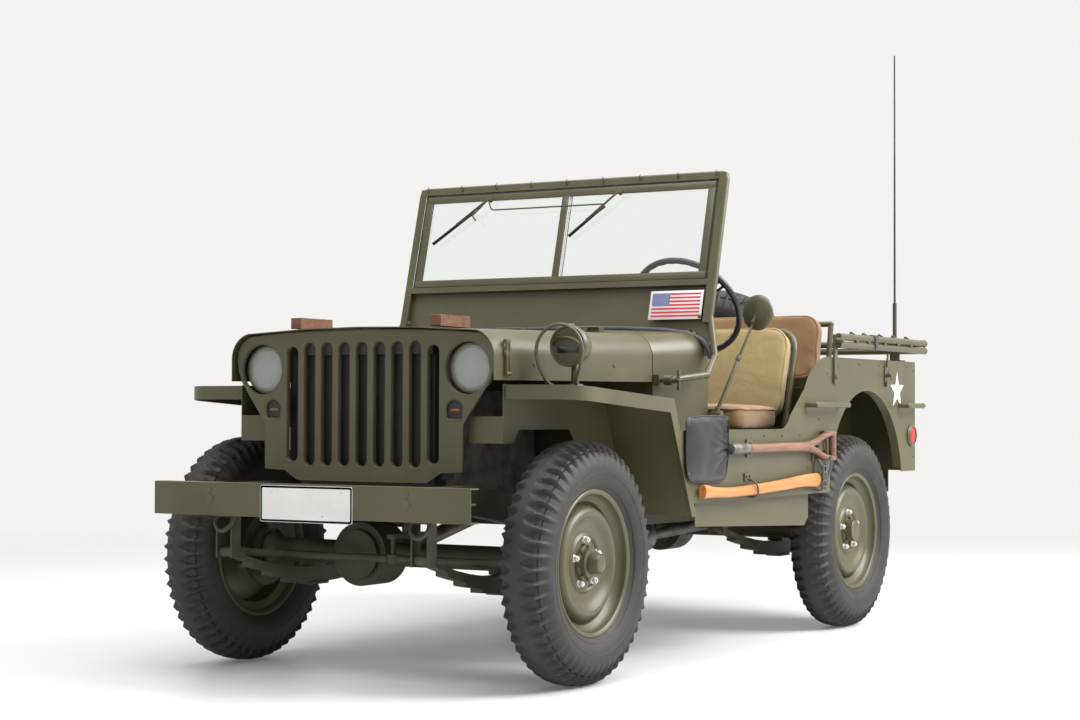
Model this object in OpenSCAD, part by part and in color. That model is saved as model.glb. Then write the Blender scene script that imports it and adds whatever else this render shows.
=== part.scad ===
// Light open 4x4 army car: steel tub on a ladder frame, leaf springs, live axles.
// Millimetres. +X is the car's left, the front faces -Y, +Z is up.
// The origin is on the ground at the centre of the car's length and width.

/* [Overall] */
// Distance between the front and the rear axle
wheelbase = 2032; // [1900:1:2300]
// Distance between the tyre centres on one axle
track = 1245; // [1225:1:1300]
// Width over the two body sides
body_w = 1475; // [1450:1:1560]
// Height of the tub's top edge above the ground
tub_top_z = 1017; // [980:1:1080]
// Length of the tub behind the rear axle
tub_tail = 480; // [430:1:560]
// Length from the front axle to the bumper's face
nose = 517; // [500:1:560]

/* [Wheels] */
// Outside diameter of a tyre
tyre_d = 730; // [700:1:760]
// Widest part of a tyre
tyre_w = 166; // [150:1:176]
// Diameter of the rim's bead seat
rim_d = 406; // [390:1:430]
// Width between the rim's flanges
rim_w = 114; // [100:1:126]
// Circle on which the wheel studs stand
stud_circle = 140; // [130:1:160]
// Number of wheel studs
stud_count = 5; // [4:1:6]

/* [Axles] */
// Diameter of the axle tubes
axle_d = 76; // [60:1:90]
// Distance of each kingpin from the tyre's centre plane
kingpin_inset = 98; // [94:1:110]
// Length of the steering arms, the bell crank too
steer_arm = 150; // [142:1:170]
// Spacing of the leaf springs, centre to centre
spring_gap = 716; // [690:1:740]
// Width of the spring leaves
leaf_w = 44; // [36:1:50]

/* [Nose and hood] */
// Width of the hood at its front edge
hood_front_w = 976; // [940:1:1010]
// Width of the hood at its rear edge
hood_rear_w = 1100; // [1060:1:1140]
// Height of the hood's crown at the front
hood_front_z = 1070; // [1050:1:1090]
// Height of the hood's crown at the rear
hood_rear_z = 1086; // [1070:1:1110]
// Height of the hood's lower side edge
hood_edge_z = 912; // [900:1:925]
// Thickness of the hood's sheet
hood_t = 3; // [2:0.5:4]
// Number of upright slots in the grille
slot_count = 9; // [7:2:9]
// Distance between the slots
slot_pitch = 65.5; // [62:0.5:66]
// Width of a slot
slot_w = 50; // [40:1:52]
// Diameter of the head lamp openings
lamp_hole_d = 158; // [150:1:160]

/* [Windshield] */
// Half width of the windshield over its posts
shield_half_w = 626; // [615:1:640]
// Height of the windshield's top edge above the ground
shield_top_z = 1632; // [1560:1:1680]
// Lean of the windshield back from upright
shield_lean = 14.7; // [10:0.1:18]
// Thickness of the windshield frame
shield_t = 24; // [18:1:30]

/* [Body sheet] */
// Thickness of the side, rear and floor sheet
sheet_t = 3; // [2:0.5:5]
// Height of the bottom of the step-in opening
step_z = 757; // [730:1:790]
// Height of the front floor's top face
floor_z = 540; // [530:1:550]
// Height of the rear floor's top face
deck_z = 645; // [635:1:680]
// Radius of the rear wheel openings
arch_r = 360; // [345:1:370]

/* [Seats] */
// Width of a front seat cushion
seat_w = 430; // [380:1:450]
// Thickness of the seat cushions
pad_t = 90; // [70:1:100]
// Width of the rear seat
bench_w = 880; // [800:1:890]
// Height of the front seats' cushion tops
seat_z = 845; // [820:1:860]

/* [Hidden] */

$fn = 48;
seat_gap = 0.3;             // standing clearance between pieces that seat on each other
bump = 8;                   // running clearance between moving pieces
eps = 1;                    // overlap that welds two shapes of one piece

olive = [0.33, 0.34, 0.22];
dark_olive = [0.20, 0.20, 0.14];
steel = [0.35, 0.35, 0.33];
rubber = [0.16, 0.16, 0.16];
canvas = [0.66, 0.56, 0.36];
wood = [0.50, 0.30, 0.18];

plate_t = 2;
spare_off = 92;                                     // tub's back to the spare's front face
rear_reach = tub_tail + spare_off + tyre_w;
fa = (nose + plate_t - wheelbase - rear_reach) / 2; // front axle
ra = fa + wheelbase;                                // rear axle
axle_z = tyre_d / 2;
half_w = body_w / 2;
tail_y = ra + tub_tail;
wheel_x = track / 2;
kingpin_x = wheel_x - kingpin_inset;
spring_x = spring_gap / 2;
diff_x = -130;                                      // both differentials and the shafts

bumper_half = 575;
bumper_z0 = 499;
bumper_h = 100;
bumper_depth = 45;
bumper_t = 4;
bumper_y = fa - nose;

grille_y = fa - 240;
grille_t = 3;
grille_rim = 36;
hood_y0 = fa - 258;
hood_y1 = fa + 612;
hood_corner = 80;
hinge_z = hood_rear_z + 8;
hinge_y = hood_y1 + 2.5;

cowl_y0 = hood_y1 + 5;
cowl_y1 = fa + 884;
cowl_half = 618;
cowl_top_z = 1100;
pivot_y = fa + 634;
pivot_z = 918;
pivot_x = 600;
pivot_r = 7;
shield_y0 = fa + 884;                               // windshield's middle plane at shield_z0
shield_z0 = 1113;
hinge_line = 1262;                                  // height of the glass frame's lower edge

fender_t = 3;
fender_y0 = fa - 200;
fender_y1 = fa + 405;
fender_z0 = 893;
fender_z1 = 856;
fender_foot_y = fa + 560;
fender_foot_z = 483;

sill_z = 525;
skirt_z = 415;
arch_y = ra - 27;
arch_z = 537;
box_x = 470;                                        // inner wall of the wheel boxes
box_z = 905;                                        // top of the wheel boxes

rail_w = 50;
rail_h = 90;
rail_t = 4;
rail_x = spring_x;
rail_inner = rail_x + rail_w / 2 - rail_t - seat_gap;
front_tie_y = fa - 212;
front_tie_z = 549;
tie_d = 60;
skid_z = 438;                                       // top of the plate under the gearbox
eye_pin_d = 13;

hub_r = 40;
spindle_r = 19.7;
spindle_bore = 20;
knuckle_ball = 58;
rod_z = axle_z - 2;
rod_d = 24;
crank_x = 60;

seat_x = 410;
wheel_lean = 36.6;                                  // steering column above level
wheel_c = [400, fa + 1164, 1185];
steer_r = 193;

// ---------- helpers ----------
function arc(c, r, a0, a1, n) = [for (i = [0:n]) let (a = a0 + (a1 - a0) * i / n) c + r * [cos(a), sin(a)]];

// straight round bar between two points
module rod(a, b, d) {
    v = b - a;
    translate(a) rotate([0, acos(v[2] / norm(v)), atan2(v[1], v[0])]) cylinder(h = norm(v), d = d);
}
// round bar through a list of points, with a ball at each bend
module bar(points, d) {
    for (i = [0:len(points) - 2]) rod(points[i], points[i + 1], d);
    for (i = [1:len(points) - 2]) translate(points[i]) sphere(d = d * 1.1);
}
module box(lo, hi) { translate(lo) cube(hi - lo); }
// outline in Y and Z, made t thick from x towards the left
module side_plate(x, t) { translate([x, 0, 0]) rotate([90, 0, 90]) linear_extrude(t) children(); }
// outline in X and Z, made t thick from y towards the back
module front_plate(y, t) { translate([0, y + t, 0]) rotate([90, 0, 0]) linear_extrude(t) children(); }
// upright hole with round ends
module slot(w, h) {
    square([w, h - w], center = true);
    for (s = [-1, 1]) translate([0, s * (h - w) / 2]) circle(d = w);
}
module both() { children(); mirror([1, 0, 0]) children(); }
module tie_bar_x(y, z, x, d) { translate([-x, y, z]) rotate([0, 90, 0]) cylinder(h = 2 * x, d = d); }
module round_rect(w, h, r) {
    square([w - 2 * r, h], center = true);
    square([w, h - 2 * r], center = true);
    for (x = [-1, 1], y = [-1, 1]) translate([x * (w / 2 - r), y * (h / 2 - r)]) circle(r = r);
}
// cushion block with round upright edges, centred on x, from y0 to y1
module pad(w, y0, y1, t, r = 40) {
    translate([0, (y0 + y1) / 2, 0]) linear_extrude(t) round_rect(w, y1 - y0, r);
}

// ---------- chassis ----------
// rail stations: [y, height of the rail's middle]
rail_line = [[bumper_y + bumper_t + seat_gap, 549], [fa - 180, 549], [fa + 260, 478],
             [ra - 420, 472], [ra - 120, 560], [tail_y - 30, 560]];
module rail_outline(h) {
    polygon(concat([for (p = rail_line) p + [0, h / 2]],
                   [for (i = [len(rail_line) - 1:-1:0]) rail_line[i] - [0, h / 2]]));
}
// one rail: a channel open towards the middle
module rail_channel() difference() {
    side_plate(rail_x - rail_w / 2, rail_w) rail_outline(rail_h);
    side_plate(rail_x - rail_w / 2 - 1, rail_w - rail_t + 1) rail_outline(rail_h - 2 * rail_t);
}
module rail_shape() {
    rail_channel();
    // gusset that ties the horn to the bumper
    box([rail_x + rail_w / 2 - eps, bumper_y + bumper_t + seat_gap, 546], [rail_x + 160, bumper_y + 120, 552]);
    // hangers and shackles for the springs
    for (h = spring_ends) {
        for (s = [-1, 1]) box([spring_x + s * (leaf_w / 2 + 6) - 3, h[0] - 22, h[1] - 20],
                              [spring_x + s * (leaf_w / 2 + 6) + 3, h[0] + 22, h[2]]);
        translate([spring_x - leaf_w / 2 - 8, h[0], h[1]]) rotate([0, 90, 0]) cylinder(h = leaf_w + 16, d = eye_pin_d);
        box([spring_x - leaf_w / 2 - 9, h[0] - 22, h[2] - 14], [spring_x + leaf_w / 2 + 9, h[0] + 22, h[2]]);
    }
}
module left_rail() color(dark_olive) rail_shape();
module right_rail() color(dark_olive) mirror([1, 0, 0]) rail_shape();
// crossmembers: under the radiator, under the gearbox, ahead of and behind the rear axle
module frame_ties() color(dark_olive) {
    difference() {
        union() {
            tie_bar_x(front_tie_y, front_tie_z, rail_inner, tie_d);
            box([-rail_inner, fa + 840, skid_z - 6], [rail_inner, fa + 960, skid_z]);
            tie_bar_x(ra - 330, 500, rail_inner, 50);
            box([-rail_inner, tail_y - 90, 530], [rail_inner, tail_y - 30, 590]);
        }
        both() rail_shape();
    }
    both() box([rail_x + rail_w / 2, tail_y - 80, 530], [580, tail_y - 30, 575]);
}
module front_bumper() color(olive) difference() {
    box([-bumper_half, bumper_y, bumper_z0], [bumper_half, bumper_y + bumper_depth, bumper_z0 + bumper_h]);
    box([-bumper_half - 1, bumper_y + bumper_t, bumper_z0 + bumper_t],
        [bumper_half + 1, bumper_y + bumper_depth + 1, bumper_z0 + bumper_h - bumper_t]);
    both() translate([rail_x, bumper_y - 1, bumper_z0 + bumper_h / 2]) rotate([-90, 0, 0]) cylinder(h = bumper_t + 2, d = 14);
}
module number_plate() color("white") difference() {
    front_plate(bumper_y - plate_t, plate_t) translate([4, 541]) round_rect(336, 108, 6);
    for (x = [-152, 160]) translate([x, bumper_y - plate_t - 1, 583]) rotate([-90, 0, 0]) cylinder(h = 4, d = 6);
}
module rear_bumpers() color(dark_olive) {
    both() {
        // bumperette on two arms from the rear crossmember
        face_y = tail_y + 62;
        box([420, face_y, 495], [600, face_y + 6, 600]);
        for (x = [440, 550]) box([x, tail_y - 30 + seat_gap, 535], [x + 20, face_y + eps, 570]);
    }
    // towing eye behind the rear crossmember
    difference() {
        union() {
            box([-70, tail_y - 30 + seat_gap, 500], [70, tail_y - 20, 580]);
            translate([0, tail_y - 21, tow_z]) rotate([-90, 0, 0]) cylinder(h = 90, d = 44);
            translate([0, tail_y + 95, tow_z - 25]) cylinder(h = 50, d = 90);
        }
        translate([0, tail_y + 95, tow_z - 26]) cylinder(h = 52, r = tow_eye_r);
    }
}
// leaf springs: [y of axle, y of front eye, y of rear eye, eye height]
tow_z = 540;
tow_eye_r = 24;
spring_table = [[fa, fa - 427, fa + 487, 387], [ra, ra - 533, ra + 533 - 60, 392]];
// hangers: [y, eye height, top height]
spring_ends = [[fa - 427, 387, 505], [fa + 487, 387, 433], [ra - 533, 392, 429], [ra + 473, 392, 516]];
leaf_z = axle_z - axle_d / 2 - 10;                  // top of the spring pack at the axle
module leaf_springs() color(dark_olive) both() for (s = spring_table) {
    difference() {
        union() {
            for (i = [0:3]) {
                reach0 = (s[0] - s[1]) * (1 - 0.22 * i);
                reach1 = (s[2] - s[0]) * (1 - 0.22 * i);
                rise = s[3] - 12 - (leaf_z - 14);
                k0 = rise / pow(s[0] - s[1], 2);
                k1 = rise / pow(s[2] - s[0], 2);
                top = [for (j = [-6:6]) let (d = j < 0 ? j / 6 * reach0 : j / 6 * reach1)
                       [s[0] + d, leaf_z - 13 * i + (j < 0 ? k0 : k1) * d * d]];
                side_plate(spring_x - leaf_w / 2, leaf_w)
                    polygon(concat(top, [for (j = [12:-1:0]) top[j] - [0, 13.5]]));
            }
            for (e = [s[1], s[2]]) translate([spring_x - leaf_w / 2, e, s[3]]) rotate([0, 90, 0]) cylinder(h = leaf_w, d = 32);
            box([spring_x - leaf_w / 2 - 8, s[0] - 45, leaf_z - 58], [spring_x + leaf_w / 2 + 8, s[0] + 45, leaf_z - 50]);
        }
        for (e = [s[1], s[2]]) translate([spring_x - leaf_w / 2 - 1, e, s[3]]) rotate([0, 90, 0])
            cylinder(h = leaf_w + 2, d = eye_pin_d + 2 * seat_gap);
    }
}

// ---------- axles and steering ----------
module axle_pads(y) both() box([spring_x - leaf_w / 2 - 8, y - 30, leaf_z + 4 * seat_gap],
                               [spring_x + leaf_w / 2 + 8, y + 30, axle_z - axle_d / 2 + 12]);
module diff_case(y, nose_dir) {
    translate([diff_x, y - 62, axle_z]) rotate([-90, 0, 0]) cylinder(h = 124, r = 100);
    translate([diff_x, y - 78, axle_z]) rotate([-90, 0, 0]) cylinder(h = 156, r = 76);
    translate([diff_x, y, axle_z]) rotate([-90 * nose_dir, 0, 0]) cylinder(h = 165, r1 = 60, r2 = 42);
}
module front_axle() color(dark_olive) difference() {
    union() {
        tie_bar_x(fa, axle_z, kingpin_x, axle_d);
        diff_case(fa, 1);
        axle_pads(fa);
        both() translate([kingpin_x, fa, axle_z]) sphere(r = knuckle_ball);
        translate([crank_x, fa, axle_z + axle_d / 2 - 6]) cylinder(h = 26, d = 46);
    }
    both() translate([kingpin_x, fa, axle_z - 90]) cylinder(h = 180, r = 12);
    translate([crank_x, fa, axle_z + axle_d / 2 - 4]) cylinder(h = 40, r = 10 + seat_gap);
}
module rear_axle() color(dark_olive) {
    tie_bar_x(ra, axle_z, wheel_x - 75, axle_d);
    diff_case(ra, -1);
    axle_pads(ra);
    both() {
        translate([wheel_x - 80, ra, axle_z]) rotate([0, 90, 0]) cylinder(h = 6, r = 118);
        translate([wheel_x - 76, ra, axle_z]) rotate([0, 90, 0]) cylinder(h = 76 + 30, r = spindle_r);
    }
}
// knuckle for the left side: shell round the axle's ball, kingpins, arm and spindle
cup_r = [63, 74];                                   // inside and outside radius of the knuckle's cup
module knuckle_shape() translate([kingpin_x, fa, axle_z]) {
    // cup open towards the car's middle
    rotate([0, 90, 0]) difference() {
        translate([0, 0, -6]) cylinder(h = 78, r = cup_r[1]);
        translate([0, 0, -7]) cylinder(h = 69, r = cup_r[0]);
    }
    for (s = [-1, 1]) {
        translate([0, 0, s * 60 - 12]) cylinder(h = 24, r = 12 - seat_gap);
        translate([0, 0, s * 77 - 11]) cylinder(h = 22, r = 24);
    }
    // brake back plate and spindle
    translate([18, 0, 0]) rotate([0, 90, 0]) difference() {
        cylinder(h = 8, r = 118);
        translate([0, 0, -1]) cylinder(h = 10, r = cup_r[1] - 5);
    }
    translate([66, 0, 0]) rotate([0, 90, 0]) cylinder(h = kingpin_inset - 66 + 54, r = spindle_r);
    // steering arm to the tie rod's ball pin
    box([-15, -steer_arm, -52], [15, -52, -40]);
    translate([0, -steer_arm, -53]) cylinder(h = 14, r = 20);
    translate([0, -steer_arm, -46]) cylinder(h = rod_z - axle_z + 64, r = 8);
}
module left_knuckle() color(dark_olive) knuckle_shape();
module right_knuckle() color(dark_olive) mirror([1, 0, 0]) knuckle_shape();
module tie_rod() color(dark_olive) difference() {
    union() {
        tie_bar_x(fa - steer_arm, rod_z, kingpin_x, rod_d);
        for (x = [-kingpin_x, kingpin_x, crank_x]) translate([x, fa - steer_arm, rod_z - 14]) cylinder(h = 28, r = 20);
    }
    for (x = [-kingpin_x, kingpin_x, crank_x])
        translate([x, fa - steer_arm, rod_z - 40]) cylinder(h = 80, r = 8 + seat_gap);
}
module bell_crank() color(dark_olive) {
    top = axle_z + axle_d / 2 + 21;
    translate([crank_x, fa, axle_z + axle_d / 2]) cylinder(h = 30, r = 10);
    translate([crank_x, fa, top]) cylinder(h = 14, r = 24);
    box([crank_x - 16, fa - steer_arm, top], [crank_x + 16, fa, top + 14]);
    translate([crank_x, fa - steer_arm, top]) cylinder(h = 14, r = 20);
    translate([crank_x, fa - steer_arm, rod_z - 20]) cylinder(h = top - rod_z + 21, r = 8);
}
// ---------- wheels ----------
// road wheel about its own axis: [radius, distance out from the tyre's middle]
rim_r = rim_d / 2;
rim_h = rim_w / 2;
flange_r = rim_r + 17;
module rim_shape(hub_len) {
    rotate([0, 90, 0]) rotate_extrude() polygon([
        [flange_r, -rim_h], [flange_r, -rim_h + 4], [rim_r, -rim_h + 7], [rim_r, -34], [rim_r - 22, -26],
        [rim_r - 22, 26], [rim_r, 34], [rim_r, rim_h - 7], [flange_r, rim_h - 4], [flange_r, rim_h],
        [rim_r - 5, rim_h], [rim_r - 5, 38], [rim_r - 27, 30], [150, 32], [118, 16], [94, 6], [50, 6], [50, 0],
        [96, 0], [120, 9], [152, 25], [rim_r - 27, 22], [rim_r - 27, -30], [rim_r - 5, -38], [rim_r - 5, -rim_h]]);
    // brake drum, hub and studs
    difference() {
        union() {
            translate([-58, 0, 0]) rotate([0, 90, 0]) cylinder(h = 58 + eps, r = 114);
            translate([-eps, 0, 0]) rotate([0, 90, 0]) cylinder(h = hub_len, r = hub_r);
            translate([-eps, 0, 0]) rotate([0, 90, 0]) cylinder(h = 12, r = 58);
        }
        translate([-60, 0, 0]) rotate([0, 90, 0]) cylinder(h = 52, r = 104);
        translate([-60, 0, 0]) rotate([0, 90, 0]) cylinder(h = 60 + hub_len - 24, r = spindle_bore);
    }
    for (i = [0:stud_count - 1]) rotate([i * 360 / stud_count, 0, 0]) translate([5, 0, stud_circle / 2])
        rotate([0, 90, 0]) { cylinder(h = 26, d = 13); cylinder(h = 12, d = 26, $fn = 6); }
}
module tyre_shape() {
    r1 = tyre_d / 2;
    w1 = tyre_w / 2;
    // one half of the section: [radius, distance from the middle]
    half = [[rim_r + seat_gap, 33], [rim_r + seat_gap, rim_h - 8], [flange_r + 3, rim_h - 4], [flange_r + 8, rim_h + 4],
            [rim_r + 45, w1 - 6], [rim_r + 82, w1], [rim_r + 118, w1 - 3], [r1 - 22, w1 - 11], [r1 - 7, w1 - 17], [r1, w1 - 26]];
    rotate([0, 90, 0]) rotate_extrude($fn = 96) polygon(concat(half,
        [for (i = [len(half) - 1:-1:0]) [half[i][0], -half[i][1]]]));
}
module at_wheel(x, y) translate([x, y, axle_z]) rotate([0, 0, x < 0 ? 180 : 0]) children();
module front_left_rim() color(olive) at_wheel(wheel_x, fa) rim_shape(84);
module front_left_tyre() color(rubber) at_wheel(wheel_x, fa) tyre_shape();
module front_right_rim() color(olive) at_wheel(-wheel_x, fa) rim_shape(84);
module front_right_tyre() color(rubber) at_wheel(-wheel_x, fa) tyre_shape();
module rear_left_rim() color(olive) at_wheel(wheel_x, ra) rim_shape(60);
module rear_left_tyre() color(rubber) at_wheel(wheel_x, ra) tyre_shape();
module rear_right_rim() color(olive) at_wheel(-wheel_x, ra) rim_shape(60);
module rear_right_tyre() color(rubber) at_wheel(-wheel_x, ra) tyre_shape();
spare_c = [-225, tail_y + spare_off + tyre_w / 2, 975];
module spare_rim() color(olive) translate(spare_c) rotate([0, 0, 90]) rotate([0, 90, 0]) rotate_extrude() polygon([
    [flange_r, -rim_h], [flange_r, -rim_h + 4], [rim_r, -rim_h + 7], [rim_r, -34], [rim_r - 22, -26],
    [rim_r - 22, 26], [rim_r, 34], [rim_r, rim_h - 7], [flange_r, rim_h - 4], [flange_r, rim_h],
    [rim_r - 5, rim_h], [rim_r - 5, 38], [rim_r - 27, 30], [150, 32], [118, 16], [94, 6], [50, 6], [50, 0],
    [96, 0], [120, 9], [152, 25], [rim_r - 27, 22], [rim_r - 27, -30], [rim_r - 5, -38], [rim_r - 5, -rim_h]]);
module spare_tyre() color(rubber) translate(spare_c) rotate([0, 0, 90]) tyre_shape();

// ---------- drive line ----------
module engine_block() color(steel) box([-150, fa - 60, 500], [170, fa + 500, 880]);
// levers: [x, y behind the front axle, height of the knob, thickness]
lever_table = [[20, 760, 880, 14], [-40, 840, 770, 12], [-85, 860, 770, 12]];
module gearbox() color(dark_olive) {
    box([-110, fa + 500 + seat_gap, 500], [110, fa + 610, 740]);
    box([-80, fa + 609, skid_z + seat_gap], [90, fa + 900, floor_z - 14]);
    box([-90, fa + 500 + seat_gap, skid_z + seat_gap], [90, fa + 611, 520]);
    box([-210, fa + 800, skid_z + seat_gap], [-79, fa + 960, floor_z - 14]);
    for (g = lever_table) {
        bar([[g[0], fa + g[1], floor_z - 20], [g[0], fa + g[1], floor_z + 40], [g[0], fa + g[1] + 50, g[2]]], g[3]);
        translate([g[0], fa + g[1] + 50, g[2]]) sphere(d = 2.6 * g[3]);
    }
}
module propshafts() color(steel) {
    for (s = [[fa, 1, fa + 800], [ra, -1, fa + 960]]) {
        y0 = s[0] + s[1] * (165 + seat_gap);
        y1 = s[2] - s[1] * seat_gap;
        translate([diff_x, y0, axle_z]) rotate([-90 * s[1], 0, 0]) cylinder(h = 34, d = 70);
        translate([diff_x - 15, y1, 485]) rotate([90 * s[1], 0, 0]) cylinder(h = 34, d = 70);
        rod([diff_x, y0 + s[1] * 20, axle_z], [diff_x - 15, y1 - s[1] * 20, 485], 50);
    }
}
module exhaust() color(steel) {
    z = 374;
    translate([250, fa + 700, z]) rotate([-90, 0, 0]) cylinder(h = 420, d = 106);
    rod([250, fa + 350, 430], [250, fa + 701, z + 10], 42);
    rod([250, fa + 1119, z], [300, ra - 450, z + 30], 38);
    box([240, fa + 1000, z + 40], [260, fa + 1030, 460]);
    box([240, fa + 1000, 452], [rail_inner - eps - seat_gap, fa + 1030, 460]);
}

// ---------- nose ----------
// outline of the pressed front panel: half, from the bottom centre round to the top
grille_half = [[0, 604], [240, 604], [290, 634], [365, 636], [366, 775], [458, 905]];
function half_and_mirror(h) = concat(h, [for (i = [len(h) - 1:-1:0]) [-h[i][0], h[i][1]]]);
module grille_outline() polygon(half_and_mirror(concat(grille_half,
    hood_profile(hood_front_w / 2, hood_front_z, hood_t + 8))));
module grille() color(olive) {
    difference() {
        front_plate(grille_y, grille_t) grille_outline();
        for (i = [0:slot_count - 1]) let (k = i - (slot_count - 1) / 2, last = abs(k) == (slot_count - 1) / 2)
            translate([k * slot_pitch, grille_y - 1, 835]) rotate([-90, 0, 0]) linear_extrude(grille_t + 2)
                slot(slot_w, last ? 362 : 386);
        both() translate([382, grille_y - 1, 943]) rotate([-90, 0, 0]) cylinder(h = grille_t + 2, d = lamp_hole_d);
        both() translate([337, grille_y - 1, 818]) rotate([-90, 0, 0]) cylinder(h = grille_t + 2, d = 68);
    }
    // returns down the two sides, bolted to the fenders
    both() box([363, grille_y + grille_t - eps, 640], [366, grille_y + grille_rim, 770]);
    both() box([300, grille_y + grille_t - eps, 606 + 28], [365, grille_y + grille_rim, 637]);
    // stay from the panel's foot to the first crossmember
    box([-40, grille_y + grille_t - eps, front_tie_z + tie_d / 2 + seat_gap], [40, grille_y + 24, 612]);
    box([-40, grille_y, 600], [40, grille_y + grille_t, 606]);
}
module radiator() color([0.1, 0.1, 0.1]) {
    box([-250, fa - 210, front_tie_z + tie_d / 2 + seat_gap], [250, fa - 150, 1010]);
    box([-250, fa - 225, 985], [250, fa - 140, 1035]);
}
module front_lamps() both() {
    color(steel) translate([382, grille_y + grille_t + 24, 943]) rotate([-90, 0, 0]) cylinder(h = 70, d1 = 146, d2 = 90);
    color(olive) box([350, grille_y + grille_rim + seat_gap, 740], [396, grille_y + 62, 900]);
    color(olive) translate([337, grille_y + grille_t + seat_gap, 818]) rotate([-90, 0, 0]) cylinder(h = 26, d = 76);
}
// height of the fender's top at a distance behind its front edge
fender_fall = (fender_z0 - fender_z1) / (fender_y1 - fender_y0);
function fender_top(y) = fender_z0 - (y - fender_y0) * fender_fall;
fender_corner = 90;
fender_flange = 43;
fender_in_x = 486;
apron_y = grille_y + grille_rim - 3;
function fender_back(z) = fender_foot_y - (z - fender_foot_z) * (fender_foot_y - fender_y1) / (fender_z1 - fender_foot_z);
module fender_plan(inner_x, inset) difference() {
    translate([inner_x, fender_y0 + inset]) square([half_w - inset - inner_x, fender_foot_y - fender_y0 - inset + 10]);
    translate([half_w - fender_corner, fender_y0]) difference() {
        square([fender_corner + 1, fender_corner]);
        translate([0, fender_corner]) circle(r = fender_corner - inset);
    }
}
module fender_shape() {
    edge = [[fender_y0, fender_z0], [fender_y1, fender_z1], [fender_foot_y, fender_foot_z]];
    // top and rear slope
    intersection() {
        linear_extrude(1200) fender_plan(fender_in_x, 0);
        side_plate(0, 1000) polygon(concat(edge, [[fender_foot_y - 4, fender_foot_z],
            [fender_y1 - 2, fender_z1 - fender_t], [fender_y0, fender_z0 - fender_t]]));
    }
    // flange turned down along the front and the outer edge
    intersection() {
        linear_extrude(1200) difference() {
            fender_plan(fender_in_x, 0);
            fender_plan(-100, fender_t);
        }
        side_plate(0, 1000) polygon(concat([for (p = edge) p - [1, 1]], [[fender_foot_y - 30, fender_foot_z - 1],
            [fender_y1 - 24, fender_z1 - fender_flange], [fender_y0, fender_z0 - fender_flange]]));
    }
    // inner splash apron, turned in to the front panel
    side_plate(fender_in_x, fender_t) polygon([[apron_y, 720], [apron_y, fender_z0 + 2],
        [hood_y1 - 30, hood_edge_z - 38], [hood_y1 - 30, 620], [fa + 300, 620], [fa + 180, 760], [fa - 120, 760], [fa - 150, 720]]);
    box([366 + seat_gap, apron_y, 720], [fender_in_x + fender_t, apron_y + 3, 800]);
}
module fenders() color(olive) both() fender_shape();
module fender_lamp() color(olive) {
    c = [620, fa - 20, 1010];
    guard_y = c[1] - 95;
    z0 = fender_top(guard_y) + seat_gap;
    box([c[0] - 54, guard_y, z0], [c[0] + 54, c[1] + 24, z0 + 5]);
    translate([c[0], c[1], z0 + 4]) cylinder(h = 60, d = 24);
    translate(c + [0, -40, 0]) rotate([-90, 0, 0]) cylinder(h = 80, d = 124);
    translate(c + [0, 39, 0]) rotate([-90, 0, 0]) cylinder(h = 40, d1 = 118, d2 = 50);
    // strap guard
    translate([c[0], guard_y, 993]) rotate([-90, 0, 0]) difference() {
        cylinder(h = 26, r = 84);
        translate([0, 0, -1]) cylinder(h = 28, r = 80);
        translate([-46, 20, -1]) cube([92, 90, 28]);
    }
    for (s = [-1, 1]) box([c[0] + s * 50 - 5, guard_y, z0 + 4], [c[0] + s * 50 + 5, guard_y + 26, 932]);
}

// ---------- hood, cowl, windshield ----------
// rounded half outline of the hood or cowl, from its side to its crown, inset from the outer face
function hood_profile(half, top, inset) = let (r = hood_corner) concat([[half - inset, top - 14 - r]],
    arc([half - r, top - 14 - r], r - inset, 10, 80, 7), [[half * 0.4, top - 3 - inset], [0, top - inset]]);
module hood_section(half, top, low, inset) polygon(half_and_mirror(concat([[half - inset, low]], hood_profile(half, top, inset))));
module hood_solid(inset, drop, run) hull() {
    front_plate(hood_y0 - run, 1) hood_section(hood_front_w / 2, hood_front_z, hood_edge_z - 6 - drop, inset);
    front_plate(hood_y1 - 1 + run, 1) hood_section(hood_rear_w / 2, hood_rear_z, hood_edge_z - drop, inset);
}
hinge_x = [-350, -50, 250];
module hood() color(olive) {
    difference() {
        hood_solid(0, 0, 0);
        hood_solid(hood_t, 20, 10);
    }
    // hinge knuckles along the rear edge
    for (x = hinge_x) {
        translate([x, hinge_y, hinge_z]) rotate([0, 90, 0]) cylinder(h = 60, r = 5);
        box([x, hood_y1 - 30, hood_rear_z - 16], [x + 60, hinge_y, hood_rear_z + 6]);
    }
}
block_z = hood_front_z - 1;
module hood_blocks() color(wood) for (x = [-260, 260])
    box([x - 20, fa - 226, block_z], [x + 20, fa - 61, block_z + 34]);
module cowl_solid(inset, drop, run) hull() {
    front_plate(cowl_y0 - run, 1) hood_section(hood_rear_w / 2, hood_rear_z, step_z - drop, inset);
    front_plate(cowl_y1 - 1 + run, 1) hood_section(cowl_half, cowl_top_z, step_z - drop, inset);
}
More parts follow.
